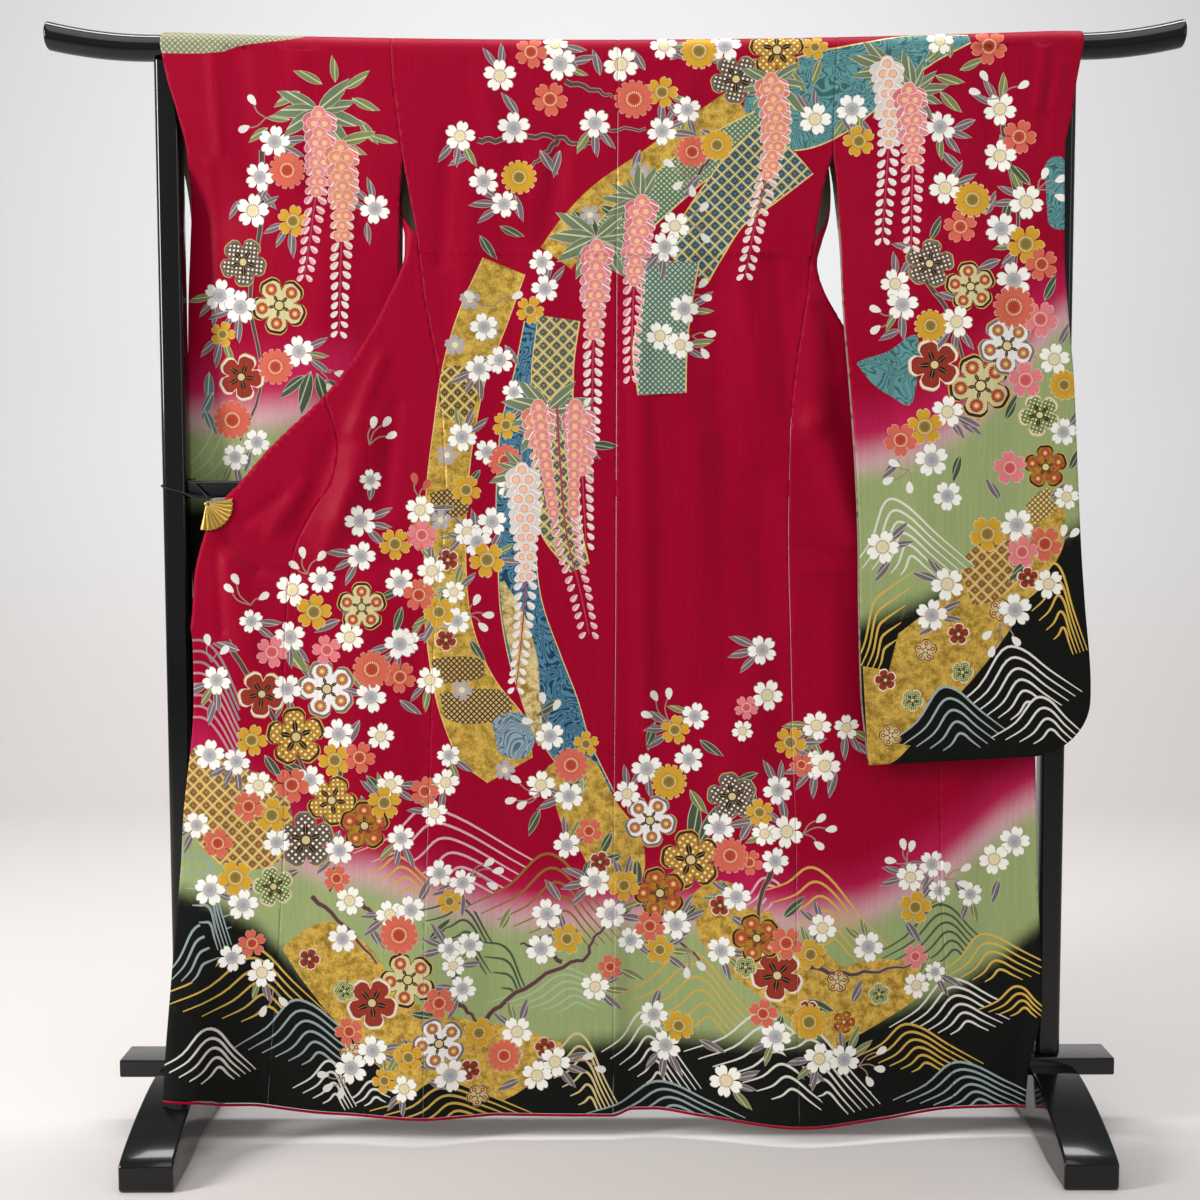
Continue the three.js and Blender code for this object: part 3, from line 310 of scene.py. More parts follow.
# Feet: a rounded rectangle carried along Y. Its top is level, notched for the rail, and slopes in
# an S to a blunt toe; its underside is raised in a low arch, and its width grows to the toe.
t = np.linspace(0, 1, 60)
pull = np.array([[FOOT_HALF, FOOT_TOE], [FOOT_HALF - 26, FOOT_TOE + 22], [120, FOOT_CREST - 4],
                 [FOOT_CREST_HALF, FOOT_CREST]])
weight = np.stack([(1 - t) ** 3, 3 * t * (1 - t) ** 2, 3 * t * t * (1 - t), t ** 3], -1)
slope = (weight @ pull)[::-1]
notch = LOWER_RAIL["depth"] / 2 + GAP
y = np.unique(np.concatenate([slope[:, 0], [notch, notch + 0.6], np.linspace(0, notch, 4),
                              np.linspace(FOOT_HALF - 8, FOOT_HALF, 9)]))
y = np.concatenate([-y[:0:-1], y])
top = np.where(np.abs(y) <= notch, LOWER_RAIL["bottom"] - GAP, np.interp(np.abs(y), slope[:, 0], slope[:, 1]))
under = ARCH_RISE * np.maximum(0, 1 - (y / ARCH_FROM) ** 2)
toe = np.clip((np.abs(y) - FOOT_HALF + FOOT_CHAMFER) / FOOT_CHAMFER, 0, 1)
under = under + FOOT_CHAMFER * toe ** 2
blunt = np.clip((np.abs(y) - FOOT_HALF + 4) / 4, 0, 1) ** 2
width = FOOT_WIDTH + (FOOT_TOE_WIDTH - FOOT_WIDTH) * np.clip((np.abs(y) - FOOT_CREST_HALF) / (FOOT_HALF
    - FOOT_CREST_HALF), 0, 1)
sx, sz = rounded_rectangle(width - 4 * blunt, top - under - 2 * blunt, np.full(len(y), FOOT_ROUND))
for side, name in ((-1, "foot_left"), (1, "foot_right")):
    rings = np.stack(np.broadcast_arrays(side * POST_AT + sx, y[:, None], sz + ((top + under) / 2)[:, None]),
                     -1)
    rigid(name, loft_mesh(name, rings), LACQUER)


# ---- Silk panels: how they hang -----------------------------------------------------------------
# Each panel is one length of silk about 340 mm wide. The back hangs in front of the bar, passes
# over it and ends at the shoulder behind; each front panel is sewn to it at the side seam, runs
# outward, turns back behind itself and carries the narrow overlap panel and the collar.
# A panel has two coordinates, in millimetres: u across, outward from the middle of the back and
# measured along the cloth, negative on the left; and v up the cloth, the height above the floor.

CLOTH = 2.0
WRAP_RADIUS = 21.2
SHOULDER, ARMHOLE, OKUMI_TOP, COLLAR_END, COLLAR_WIDTH = 1623, 1500, 1400, 862, 55
LEAN_TOP, LEAN_FULL, WAVE_TOP = 430, 92, 820
CLIP_HEIGHT = 972
CREASE_FADE = 40                        # creases die out this far from a fold or from the clip
OVER = math.pi * WRAP_RADIUS
FAR_SIDE = 2 * BAR_HEIGHT + OVER        # behind the bar, the height z lies at v = FAR_SIDE - z


def curves(names, rows):
    """One smooth curve for each named column after the first: a monotone cubic through its rows."""
    rows = np.array(rows, float)
    at = rows[:, 0]

    def curve(values):
        slopes = np.diff(values) / np.diff(at)
        before, after = slopes[:-1], slopes[1:]
        total = np.where(before + after == 0, 1, before + after)
        inner = np.where(before * after <= 0, 0, 2 * before * after / total)
        tangents = np.concatenate([slopes[:1], inner, slopes[-1:]])

        def read(x):
            x = np.clip(x, at[0], at[-1])
            i = np.clip(np.searchsorted(at, x, side="right") - 1, 0, len(at) - 2)
            span = at[i + 1] - at[i]
            t = (x - at[i]) / span
            start = (1 + 2 * t) * (1 - t) ** 2 * values[i] + t * (1 - t) ** 2 * span * tangents[i]
            return start + t * t * (3 - 2 * t) * values[i + 1] + t * t * (t - 1) * span * tangents[i + 1]
        return read
    return {name: curve(rows[:, k + 1]) for k, name in enumerate(names.split()[1:])}


# The hem, left front edge to right: how far it stands back (+) or forward (-), how far it leans
# over the left foot, and its height.
HEM = curves("x wave lean height", [
    (-690, 0, -88, 94), (-660, 0, -87, 94), (-628, 0, -80, 92), (-600, -2, -48, 76),
    (-539, -8, -6, 61), (-425, -8, 0, 46), (-298, -26, 0, 43), (-229, -10, 0, 42),
    (-180, 2, 0, 41), (-7, 2, 0, 39), (24, 12, 0, 46), (56, 13, 0, 46), (126, 2, 0, 39),
    (280, -33, 0, 31), (400, -13, 0, 38), (515, 7, 0, 48), (640, 13, 0, 49)])

# How far in front of the bar the back hangs, and where its centre seam runs.
HANG = curves("z y seam", [
    (0, -62, -7), (250, -52, -5), (500, -42, -4), (800, -34, -1), (1000, -31, 0),
    (1200, -28, 1), (1370, -25, 2), (1494, -22.5, 3), (1653, -21.2, 4)])

# A tuck across the back: its height, how far it stands out, the depth of its lower edge and how
# far up it fades.
TUCK = {"back": 1343, "depth": 1.6, "lip": 2.6, "fade": 14}

# Folds of the near side: a soft ridge (+) or trough (-) between two points, then its half width
# and its rise.
FOLDS = [
    (-590, 915, -495, 868, 20, -6), (-585, 880, -560, 760, 26, 6), (-372, 1090, -412, 950, 26, 8),
    (-425, 1060, -478, 935, 20, -5), (128, 1060, 182, 580, 34, 6), (215, 1000, 246, 580, 28, -5),
    (-150, 1500, -190, 900, 34, -4), (298, 1270, 300, 1090, 20, 7), (300, 1090, 360, 920, 22, 7),
    (350, 1120, 430, 900, 28, -6),
    (-598, 930, -540, 872, 7, -3.2), (-540, 872, -478, 862, 9, -2.6), (-604, 905, -596, 780, 8, -3.0),
    (-352, 1190, -395, 1080, 12, 4), (-395, 1010, -440, 900, 14, 4), (-330, 1120, -352, 960, 13, -3),
    (-470, 1000, -520, 930, 12, 3), (-505, 985, -560, 945, 10, -2.5), (-300, 900, -420, 862, 16, -2.4),
    (-575, 700, -600, 500, 30, 3), (-480, 700, -470, 380, 34, -3), (-380, 820, -390, 520, 30, 2.5),
    (-210, 1480, -230, 1240, 16, 2.2), (-85, 1460, -60, 1180, 22, -2), (60, 1440, 40, 1200, 20, 1.8),
    (145, 1420, 120, 1180, 14, -2), (180, 1380, 215, 1150, 16, 2.4), (240, 1330, 262, 1080, 12, -2.4),
    (60, 900, 70, 640, 26, -2), (330, 800, 318, 560, 24, 2.4), (420, 870, 400, 640, 22, -2.6),
    (500, 760, 520, 520, 30, 3), (150, 1270, 166, 700, 30, -7), (34, 1230, 46, 620, 17, 4.5),
    (-82, 1510, -108, 1360, 17, -4.5),
    (205, 1480, 150, 1300, 22, -3.5), (-250, 1520, -262, 1330, 14, -3), (-196, 1620, -150, 1400, 20, 3),
    (112, 1620, 96, 1450, 16, 2.6),
    (-300, 780, -292, 500, 26, -4), (222, 760, 232, 420, 24, 4), (275, 905, 380, 888, 9, -1.8),
    (285, 868, 372, 872, 8, 1.6),
    (-120, 700, -130, 420, 36, 2), (560, 500, 570, 260, 34, -3), (100, 1290, 135, 1275, 10, -1.4)]

# Creases of the hidden side, of the same kind, in the panels' own outward distance and height.
HIDDEN_FOLDS = [
    (330, 1180, 420, 900, 22, 3.5), (420, 1000, 480, 640, 26, -3.5), (520, 900, 540, 420, 30, 3.5),
    (600, 860, 560, 520, 24, -3), (460, 520, 470, 180, 34, 3), (590, 420, 600, 140, 30, -2.6),
    (380, 1380, 400, 1150, 14, -2.2), (620, 760, 640, 300, 20, 2.4)]


def creases(x, z, folds):
    """Sum of soft ridges: each a Gaussian of the distance from the fold's own line."""
    total = np.zeros(np.broadcast(x, z).shape)
    for x0, z0, x1, z1, width, rise in folds:
        dx, dz = x1 - x0, z1 - z0
        t = np.clip(((x - x0) * dx + (z - z0) * dz) / (dx * dx + dz * dz), 0, 1)
        total += rise * np.exp(-((x - x0 - t * dx) ** 2 + (z - z0 - t * dz) ** 2) / width ** 2)
    return total


def ripple(x, z):
    """How far the cloth stands back (+) or forward (-) of its plane: hem waves, lean and folds."""
    wave = HEM["wave"](x) * np.maximum(0, 1 - z / WAVE_TOP) ** 1.3
    reach = np.maximum(0, (LEAN_TOP - z) / (LEAN_TOP - LEAN_FULL)) ** 1.15
    return wave + HEM["lean"](x) * np.minimum(1, reach) - creases(x, z, FOLDS)


SIDES = {}


def hang_side(sign, front, back_edge):
    """Curves of one side: its side seam, and the path of its front panel round the outer fold."""
    parting = back_edge[0][0]
    edge_above = curves("z edge", back_edge)["edge"]
    front = curves("z edge fold near far turn okumi width", front)
    SIDES[sign] = dict(front, sign=sign,
                       side_edge=lambda z: np.where(z > parting, edge_above(z), front["edge"](z)))


# Each front panel by height: it starts at edge, runs outward to fold, turns back there and ends
# after width; near and far are the depths of its two layers, turn is how far round the fold it
# starts, and okumi is where the overlap panel begins.
hang_side(-1, [
    (0, 295, 700, -62, -40, 0, 241, 381), (155, 294, 700, -56, -40, 0, 232, 379),
    (262, 293, 690, -51, -40, 0, 224, 377), (475, 287, 680, -43, -32, 0, 219, 374),
    (664, 281, 662, -37, -26, 0, 225, 361), (760, 277, 652, -34.7, -24, 0, 226, 365),
    (800, 274, 643, -34, -23.5, 0, 226, 374), (862, 268, 638, -33, -23, 0, 228, 388),
    (910, 262, 627, -32, -22, 0, 222, 384), (962, 258, 606, -31.5, -21.5, 0, 200, 368),
    (1005, 257, 567, -31, -20.5, 0, 172, 333), (1060, 259, 518, -30, -19.5, 0, 160, 302),
    (1145, 264, 429, -28.8, -18, 0, 180, 287), (1240, 279, 362, -27.3, -17, 0, 214, 271),
    (1282, 287, 341, -26.6, -16.5, 0, 224, 264), (1312, 290, 326, -26, -15.5, 0, 229, 258),
    (1345, 294, 316, -25.4, -7, 0, 233, 252), (1372, 297, 316, -24.8, 4, 0, 235, 247),
    (1400, 309, 322, -16, 13, 0.25, 236, 243), (1440, 316, 325, -6, 21, 0.65, 240, 240),
    (1494, 318, 328, 0, 26, 1, 240, 240), (1553, 325, 335, -2, 24, 1, 240, 240),
    (1605, 331, 341, -4, 22.5, 1, 240, 240), (1653, 334, 344, -5, 21.2, 1, 240, 240),
], [(1372, 297), (1440, 309), (1494, 318), (1553, 325), (1605, 331), (1653, 334)])
hang_side(1, [
    (0, 275, 660, -62, -40, 0, 243, 349), (100, 274, 660, -58, -40, 0, 240, 356),
    (207, 273, 672, -54, -40, 0, 232, 377), (441, 272, 664, -44.5, -34, 0, 221, 369),
    (572, 268, 658, -39.8, -28, 0, 224, 369), (760, 264, 648, -34.7, -25, 0, 228, 366),
    (800, 263, 636, -34, -24.5, 0, 229, 373), (862, 261, 626, -33, -24, 0, 231, 384),
    (937, 260, 606, -31.9, -22, 0, 222, 368), (1020, 261, 518, -30.7, -20.5, 0, 190, 310),
    (1060, 262, 477, -30, -19.5, 0, 168, 301), (1111, 264, 427, -29.3, -18.5, 0, 170, 292),
    (1240, 280, 340, -27.3, -17, 0, 218, 270), (1295, 288, 309, -26.3, -16, 0, 229, 260),
    (1330, 291, 301, -25.7, -13, 0, 232, 254), (1362, 297, 309, -25.1, 0, 0, 235, 248),
    (1400, 313, 321, -14, 13, 0.3, 236, 243), (1448, 319, 327, -6, 21, 0.7, 240, 240),
    (1502, 324, 334, 0, 25, 1, 240, 240), (1553, 325, 335, -2, 23.5, 1, 240, 240),
    (1605, 327, 337, -4, 22.3, 1, 240, 240), (1653, 329, 339, -5, 21.2, 1, 240, 240),
], [(1362, 297), (1448, 311), (1502, 324), (1553, 325), (1605, 327), (1653, 329)])


def over_bar(x, v, near, far):
    """Cloth hung over the bar: up the near side, round a half circle and down the far side."""
    down = FAR_SIDE - v
    z = np.where(v <= BAR_HEIGHT, v, np.where(v >= BAR_HEIGHT + OVER, down, BAR_HEIGHT))
    angle = np.clip((v - BAR_HEIGHT) / WRAP_RADIUS, 0, math.pi)
    round_y = -WRAP_RADIUS * np.cos(angle)
    y = np.where(v < BAR_HEIGHT, near(x, z), np.where(v > BAR_HEIGHT + OVER, far(x, z), round_y))
    return np.stack([x, y, z + WRAP_RADIUS * np.sin(angle)], -1)


def back_shape(u, v):
    """The back hangs by its table, with ripples that die out just below the bar."""
    def near(x, z):
        above = z - TUCK["back"] + 0.01 * x
        lip = np.where(above > 0, np.exp(-above / TUCK["fade"]), np.clip(1 + above / TUCK["lip"], 0, 1))
        return HANG["y"](z) + np.minimum(1, (BAR_HEIGHT - z) / 60) * ripple(x, z) - TUCK["depth"] * lip

    def far(x, z):
        side = SIDES[-1 if np.mean(x) < 0 else 1]
        t = np.clip((BAR_HEIGHT - z) / (BAR_HEIGHT - SHOULDER), 0, 1)
        return WRAP_RADIUS + (side["far"](SHOULDER) - WRAP_RADIUS) * t
    return over_bar(u, v, near, far)


def outer_fold(side, z, near):
    """The turn at a front panel's outer edge: its radius, the outward distance at which it begins,
    and how far along the cloth from there the panel starts (negative on the near layer)."""
    radius = (side["far"](z) - near) / 2
    tangent = side["fold"](z) - radius
    turn = side["turn"](z)
    return radius, tangent, turn * math.pi * radius + (2 * turn - 1) * (tangent - side["edge"](z))


def front_path(side, s, z):
    """A straight near layer, a half circle round the fold, then a straight far layer behind."""
    sign = side["sign"]
    far = side["far"](z)
    near_flat = side["near"](z)
    near = near_flat + np.minimum(0, ripple(sign * side["fold"](z), z))
    radius, tangent, start = outer_fold(side, z, near)
    t = start + s
    fade = np.clip(t / np.minimum(-1e-6, np.maximum(start, -40)), 0, 1)
    x_near = sign * (tangent + t)
    y_near = np.where(side["turn"](z) > 0, near, near + (near_flat + ripple(x_near, z) - near) * fade)
    angle = np.clip(t / radius, 0, math.pi)
    x_far = tangent - (t - math.pi * radius)
    settle = np.clip((t - math.pi * radius) / CREASE_FADE, 0, 1)
    clear = np.clip(np.abs(z - CLIP_HEIGHT) / CREASE_FADE - 1, 0, 1)
    y_far = far - settle * creases(x_far, z, HIDDEN_FOLDS) * clear
    x = np.where(t <= 0, x_near, np.where(t < math.pi * radius, sign * (tangent + radius * np.sin(angle)),
                                          sign * x_far))
    y = np.where(t <= 0, y_near, np.where(t < math.pi * radius, near + radius * (1 - np.cos(angle)), y_far))
    return np.stack([x, y, z], -1)


def front_shape(sign):
    side = SIDES[sign]
    return lambda u, v: front_path(side, sign * u - side["edge"](v), v)


def between(a, b, count):
    """Points from a to b without b, so that runs can be joined end to end."""
    return np.linspace(a, b, count, endpoint=False)


# ---- Silk sleeves: how they hang ------------------------------------------------------------------
# One length folded over the bar. Below the wrist its two layers are sewn together along the outer
# edge and the bottom, with a rounded corner; the inner edge stays open. The left sleeve hangs
# behind its post and the middle rail, the right one in front of them.

SLEEVE_CORNER, SLEEVE_BLEND, SLEEVE_CLOSING, SLEEVE_SEAM = 92, 200, 30, 2 * CLOTH + GAP
SLEEVE_SLOPE = 12
SLEEVE_COLUMNS = "z inner outer farOuter nearIn nearOut farIn farOut"
SLEEVES = {
    -1: dict(bottom=563, **curves(SLEEVE_COLUMNS, [
        (563, 335, 652, 652, 20, 27, 42, 31.3), (800, 333, 655, 655, 20, 27, 42, 31.3),
        (1005, 330, 656, 656, 18, 27, 42, 31.3), (1060, 329, 656, 656, 12, 27, 41, 31.3),
        (1145, 328, 656, 656, 3, 27, 40, 31.3), (1282, 327, 653, 653, -6, 26, 38, 30.3),
        (1345, 326, 649, 649, -10, 24.5, 36, 28.8), (1390, 325, 646, 646, -14, 23, 34, 27.3),
        (1410, 324.5, 644, 647, -15, 19, 33, 28), (1450, 322, 641, 652, -19, 4, 30, 30),
        (1494, 318.3, 641, 660, -22, -13, 26, 30), (1553, 325.3, 652, 667, -22, -22.5, 24, 27),
        (1605, 331.3, 667, 672, -21.6, -22, 22.5, 23), (1653, 334.3, 676, 676, -21.2, -21.2, 21.2, 21.2)])),
    1: dict(bottom=578, **curves(SLEEVE_COLUMNS, [
        (578, 379, 709, 709, -72, -65, -52, -60.7), (690, 367, 711, 711, -70, -64, -51, -59.7),
        (825, 363, 700, 700, -68, -62, -49, -57.7), (903, 362, 694, 694, -67, -60, -48, -55.7),
        (1017, 357, 688, 688, -65, -56, -46, -51.7), (1160, 346, 681, 681, -61, -50, -43, -45.7),
        (1243, 339, 674, 674, -56, -44, -40, -39.7), (1300, 336, 670, 670, -50, -39, -34, -34.7),
        (1347, 335, 668, 668, -43, -36, -24, -31.7), (1404, 332, 668, 667, -34, -33, -6, -28.4),
        (1430, 330.5, 668, 656, -31, -31.5, 4, -25), (1455, 329, 668, 646, -28, -30, 13, -19),
        (1502, 324.3, 669, 643, -24, -27, 25, -1), (1553, 325.3, 680, 645, -22, -24, 23.5, 17),
        (1580, 326.3, 683, 662, -21.7, -23, 22.8, 23), (1605, 327.3, 687, 680, -21.5, -22, 22.3, 23),
        (1653, 329.3, 696, 696, -21.2, -21.2, 21.2, 21.2)]))}

# Soft folds of each sleeve, near layer then far layer, in outward distance and height. They fade
# out towards the sewn edge and the bottom, where the layers lie together.
SLEEVE_FOLDS = {
    -1: ([(598, 1640, 590, 1500, 10, 2.4), (560, 1640, 540, 1420, 16, -2), (470, 1640, 480, 1460, 18, 2),
          (610, 1480, 604, 1250, 9, 2.2), (400, 1600, 380, 1380, 18, -2.2), (430, 1350, 470, 1120, 24, 2.4),
          (380, 1250, 360, 1000, 20, -2), (540, 1300, 560, 1050, 24, -1.8)],
         [(420, 1500, 400, 1100, 26, 2.6), (520, 1300, 500, 800, 30, -2.4), (380, 1000, 400, 700, 24, 2)]),
    1: ([(637, 1645, 628, 1560, 8, 3), (664, 1620, 652, 1560, 7, 2.6), (648, 1600, 636, 1500, 6, -2.4),
         (560, 1640, 566, 1480, 18, -2), (470, 1640, 460, 1420, 20, 2.2), (520, 1480, 560, 1150, 28, 2),
         (420, 1420, 410, 1100, 22, -2.2), (600, 1300, 590, 950, 26, -2), (450, 1080, 470, 760, 28, 2.2)],
        [(420, 1500, 440, 1100, 26, 2.4), (540, 1200, 520, 760, 30, -2.2), (610, 1400, 600, 1000, 22, 2)])}


def sleeve_inner(sign, z):
    return np.where(z >= ARMHOLE, SIDES[sign]["side_edge"](z) + GAP / 2, SLEEVES[sign]["inner"](z))


def sleeve_shape(sign):
    size = SLEEVES[sign]

    def layer(x, z, near):
        out = sign * x
        inner = sleeve_inner(sign, z)
        outer = size["outer" if near else "farOuter"](z)
        share = np.clip((out - inner) / (outer - inner), 0, 1)
        ground = z - size["bottom"] - SLEEVE_SLOPE * share
        rise = np.where(ground < SLEEVE_BLEND, ground / (1 - SLEEVE_SLOPE * share / SLEEVE_BLEND), ground)
        corner = np.clip(SLEEVE_CORNER - rise, 0, SLEEVE_CORNER)
        cut = SLEEVE_CORNER - np.sqrt(SLEEVE_CORNER ** 2 - corner ** 2)
        share = np.clip((out - inner) / (outer - cut - inner), 0, 1)
        near_y = size["nearIn"](z) + (size["nearOut"](z) - size["nearIn"](z)) * share ** 3
        far_y = size["farIn"](z) + (size["farOut"](z) - size["farIn"](z)) * share ** 3
        closed = np.clip(1 - rise / SLEEVE_CLOSING, 0, 1) ** 2
        edge = np.clip((share - 0.75) / 0.25, 0, 1) * np.minimum(1, corner / 40)
        held = np.maximum(closed, edge ** 2)
        half = (far_y - near_y) / 2
        half = half + (SLEEVE_SEAM / 2 - half) * held
        free = np.clip((1 - share) / 0.15, 0, 1) * np.clip(rise / 60, 0, 1) * np.clip(share / 0.08, 0, 1)
        soft = creases(out, z, SLEEVE_FOLDS[sign][0 if near else 1]) * free
        way = -1 if near else 1
        return (near_y + far_y) / 2 + way * (half + soft)
    return lambda u, v: over_bar(u, v, lambda x, z: layer(x, z, True), lambda x, z: layer(x, z, False))


def sleeve_outline(sign):
    """The sleeve's edge in its own coordinates: near layer from the open edge along the bottom and
    up the cuff, over the bar, and the far layer the same way down."""
    size = SLEEVES[sign]
    bottom = size["bottom"]
    share = between(0, 1, 24)
    inner, outer = size["inner"](bottom), size["outer"](bottom)
    floor_edge = np.column_stack([inner + (outer - SLEEVE_CORNER - inner) * share,
                                  bottom + SLEEVE_SLOPE * share])
    rise = SLEEVE_CORNER * (1 - np.cos(between(0, math.pi / 2, 20)))
    rise = np.concatenate([rise, between(SLEEVE_CORNER, SLEEVE_BLEND, 8)])
    z = bottom + rise + SLEEVE_SLOPE * (1 - rise / SLEEVE_BLEND)
    corner = np.clip(SLEEVE_CORNER - rise, 0, None)
    cut = SLEEVE_CORNER - np.sqrt(SLEEVE_CORNER ** 2 - corner ** 2)
    z_up = between(bottom + SLEEVE_BLEND, BAR_HEIGHT, 90)
    half = np.concatenate([floor_edge, np.column_stack([size["outer"](z) - cut, z]),
                           np.column_stack([size["outer"](z_up), z_up])])
    mirror = half[::-1].copy()
    mirror[:, 1] = FAR_SIDE - mirror[:, 1]
    high = mirror[:, 1] < FAR_SIDE - bottom - SLEEVE_BLEND
    mirror[high, 0] = size["farOuter"](FAR_SIDE - mirror[high, 1])
    v = between(BAR_HEIGHT, BAR_HEIGHT + OVER, 16)
    arc = np.column_stack([np.full(16, size["outer"](BAR_HEIGHT)), v])
    z_down = between(bottom, BAR_HEIGHT, 110)
    back = np.column_stack([sleeve_inner(sign, z_down), FAR_SIDE - z_down])
    arc_back = np.column_stack([np.full(16, sleeve_inner(sign, np.array(float(BAR_HEIGHT)))),
                                v[::-1] + OVER / 16])
    front = np.column_stack([sleeve_inner(sign, z_down), z_down])[:0:-1]
    outline = np.concatenate([half, arc, mirror, back, arc_back, front])
    return outline * [sign, 1]


# ---- Silk: how it is dyed -------------------------------------------------------------------------
# Yuzen dyeing: the ground runs from crimson through pink and willow green to black, in soft
# bands (bokashi), and every motif is painted inside a resist line, with gold leaf on top.
# Motifs are flat outlines in a panel's own coordinates, so they follow the cloth round its folds.

CRIMSON, ROSE, BLUSH, WILLOW, INK = "#940226", "#B01C4C", "#C79CA2", "#94A26C", "#141512"
PAINTS = ["crepe", "lining", "petal", "leaf", "gold_leaf", "swirl", "cloisonne", "lattice", "check"]

CLOTH_AT = {"body": HANG["y"]}
for sign, where in ((-1, "left_sleeve"), (1, "right_sleeve")):
    CLOTH_AT[where] = lambda z, size=SLEEVES[sign]: (2 * size["nearIn"](z) + size["nearOut"](z)) / 3


def seen_at(where, across, down):
    """The cloth's coordinates, in mm, under a pixel of the camera's frame: the pixel's ray meets
    the plane in which the cloth hangs at that height, and the bar's sag is taken off again."""
    across, down = np.asarray(across, float), np.asarray(down, float)
    middle = FRAME_PIXELS / 2
    ray = (ahead + rightward * ((across - middle) / FOCAL_PIXELS)[..., None]
           + upward * ((middle - down) / FOCAL_PIXELS)[..., None])
    depth = -40.0
    for _ in range(2):
        reach = (depth / 1000 - EYE[1]) / ray[..., 1]
        u, v = (1000 * (EYE[k] + ray[..., k] * reach) for k in (0, 2))
        depth = CLOTH_AT[where](v)
    share = np.clip((v - SAG_FROM) / (SAG_FULL - SAG_FROM), 0, 1)
    return np.stack([u, v + SAG * np.maximum(0, 1 - (u / SAG_HALF) ** 2) * share], -1)


PIXEL = 1000 * 2.45 / FOCAL_PIXELS      # one pixel at the cloth, in mm

# Heights at which the ground turns from crimson to rose, from rose to green and from green to
# black, each read down the frame at some places across it.
BOKASHI = {
    "body": [(150, 705, 800, 880), (200, 725, 812, 893), (260, 780, 850, 925), (320, 822, 880, 990),
             (375, 848, 885, 1040), (450, 868, 912, 1062), (500, 882, 925, 1058), (562, 888, 930, 1045),
             (640, 880, 925, 1036), (750, 862, 928, 1038), (800, 884, 928, 1036), (860, 876, 922, 1018),
             (940, 828, 888, 994), (1000, 782, 835, 958), (1042, 752, 808, 922)],
    "left_sleeve": [(180, 372, 430, 505), (300, 350, 425, 505)],
    "right_sleeve": [(860, 412, 474, 622), (920, 398, 460, 600), (970, 352, 430, 576),
                     (1010, 312, 390, 560), (1050, 280, 340, 540), (1080, 262, 318, 524)],
}
BOKASHI_LINES = {}
for where, rows in BOKASHI.items():
    rows = np.array(rows, float)
    BOKASHI_LINES[where] = [seen_at(where, rows[:, 0], rows[:, k]) for k in (1, 2, 3)]


def smooth_step(x):
    x = np.clip(x, 0, 1)
    return x * x * (3 - 2 * x)


def ground_dye(where, u, v):
    """The ground's colour: crimson, then rose, a pale blush, green and black, each blended softly
    over a few centimetres above or below its own line."""
    v = np.where(v > BAR_HEIGHT + OVER / 2, FAR_SIDE - v, v)
    pink, green, black = (np.interp(u, line[:, 0], line[:, 1]) for line in BOKASHI_LINES[where])
    colour = np.broadcast_to(colour_of(CRIMSON), (*u.shape, 3))
    for edge, soft, code in ((pink, 90, ROSE), (green + 34, 56, BLUSH), (green, 46, WILLOW),
                             (black, 40, INK)):
        share = smooth_step((edge - v) / soft + 0.5)[..., None]
        colour = colour + (colour_of(code) - colour) * share
    return colour


# Every printed shape, bottom layer first: its outline, its paint, its colour and the colour of its
# heart, and the frame (centre, turn, size) in which the paint's own pattern is drawn.
PRINTS = {where: [] for where in BOKASHI}


def twice_area(outline):
    """Twice the signed area inside an outline: positive when it runs counter-clockwise."""
    x, y = outline.T
    return np.sum(x * np.roll(y, -1) - y * np.roll(x, -1))


def stamp(where, outline, paint, dye=None, heart=None, centre=(0, 0), turn=0.0, size=1000.0):
    """Prints an outline in its paint; without a dye it takes the ground's own colours."""
    outline = np.asarray(outline, float)
    if twice_area(outline) < 0:
        outline = outline[::-1]
    PRINTS[where].append(dict(
        outline=outline, paint=PAINTS.index(paint), ground=dye is None,
        dye=colour_of(dye or INK), heart=colour_of(heart or dye or INK),
        frame=(centre[0], centre[1], math.cos(turn), math.sin(turn), 1 / size)))


def set_down(local, centre, turn, size):
    """A local outline turned, enlarged and moved to its place."""
    c, s = math.cos(turn), math.sin(turn)
    return np.asarray(centre) + size * (local @ np.array([[c, s], [-s, c]]))


def rosette(petals, inner, notch, steps=10, fullness=0.45):
    """Petals as |cos| lobes between an inner and an outer radius of 1, notched at their tips."""
    wedge = math.pi / petals
    off = np.linspace(-wedge, wedge, steps, endpoint=False)
    radius = inner + (1 - inner) * np.abs(np.cos(off * petals / 2)) ** fullness - notch * np.exp(-(off
        * petals / 0.42) ** 2)
    angle = math.pi / 2 + (np.arange(petals) * 2 * wedge)[:, None] + off
    radius = np.broadcast_to(radius, angle.shape)
    return np.column_stack([(radius * np.cos(angle)).ravel(), (radius * np.sin(angle)).ravel()])


def blade(width, bend, steps=6, power=0.9):
    """A pointed leaf from (0, 0) to (1, bend): half its width follows a sine, fuller near the base."""
    x = np.linspace(0, 1, steps + 1)
    half = width / 2 * np.sin(math.pi * x ** 0.85) ** power
    spine = bend * x ** 2
    return np.concatenate([np.column_stack([x, spine - half]), np.column_stack([x, spine + half])[-2:0:-1]])


def ribbon(path, width):
    """A strip along a path, as wide as width says at each of its points."""
    along = np.gradient(path, axis=0)
    beside = np.column_stack([-along[:, 1], along[:, 0]]) / np.linalg.norm(along, axis=1)[:, None]
    half = np.broadcast_to(np.asarray(width, float), len(path))[:, None] / 2
    return np.concatenate([path + beside * half, (path - beside * half)[::-1]])


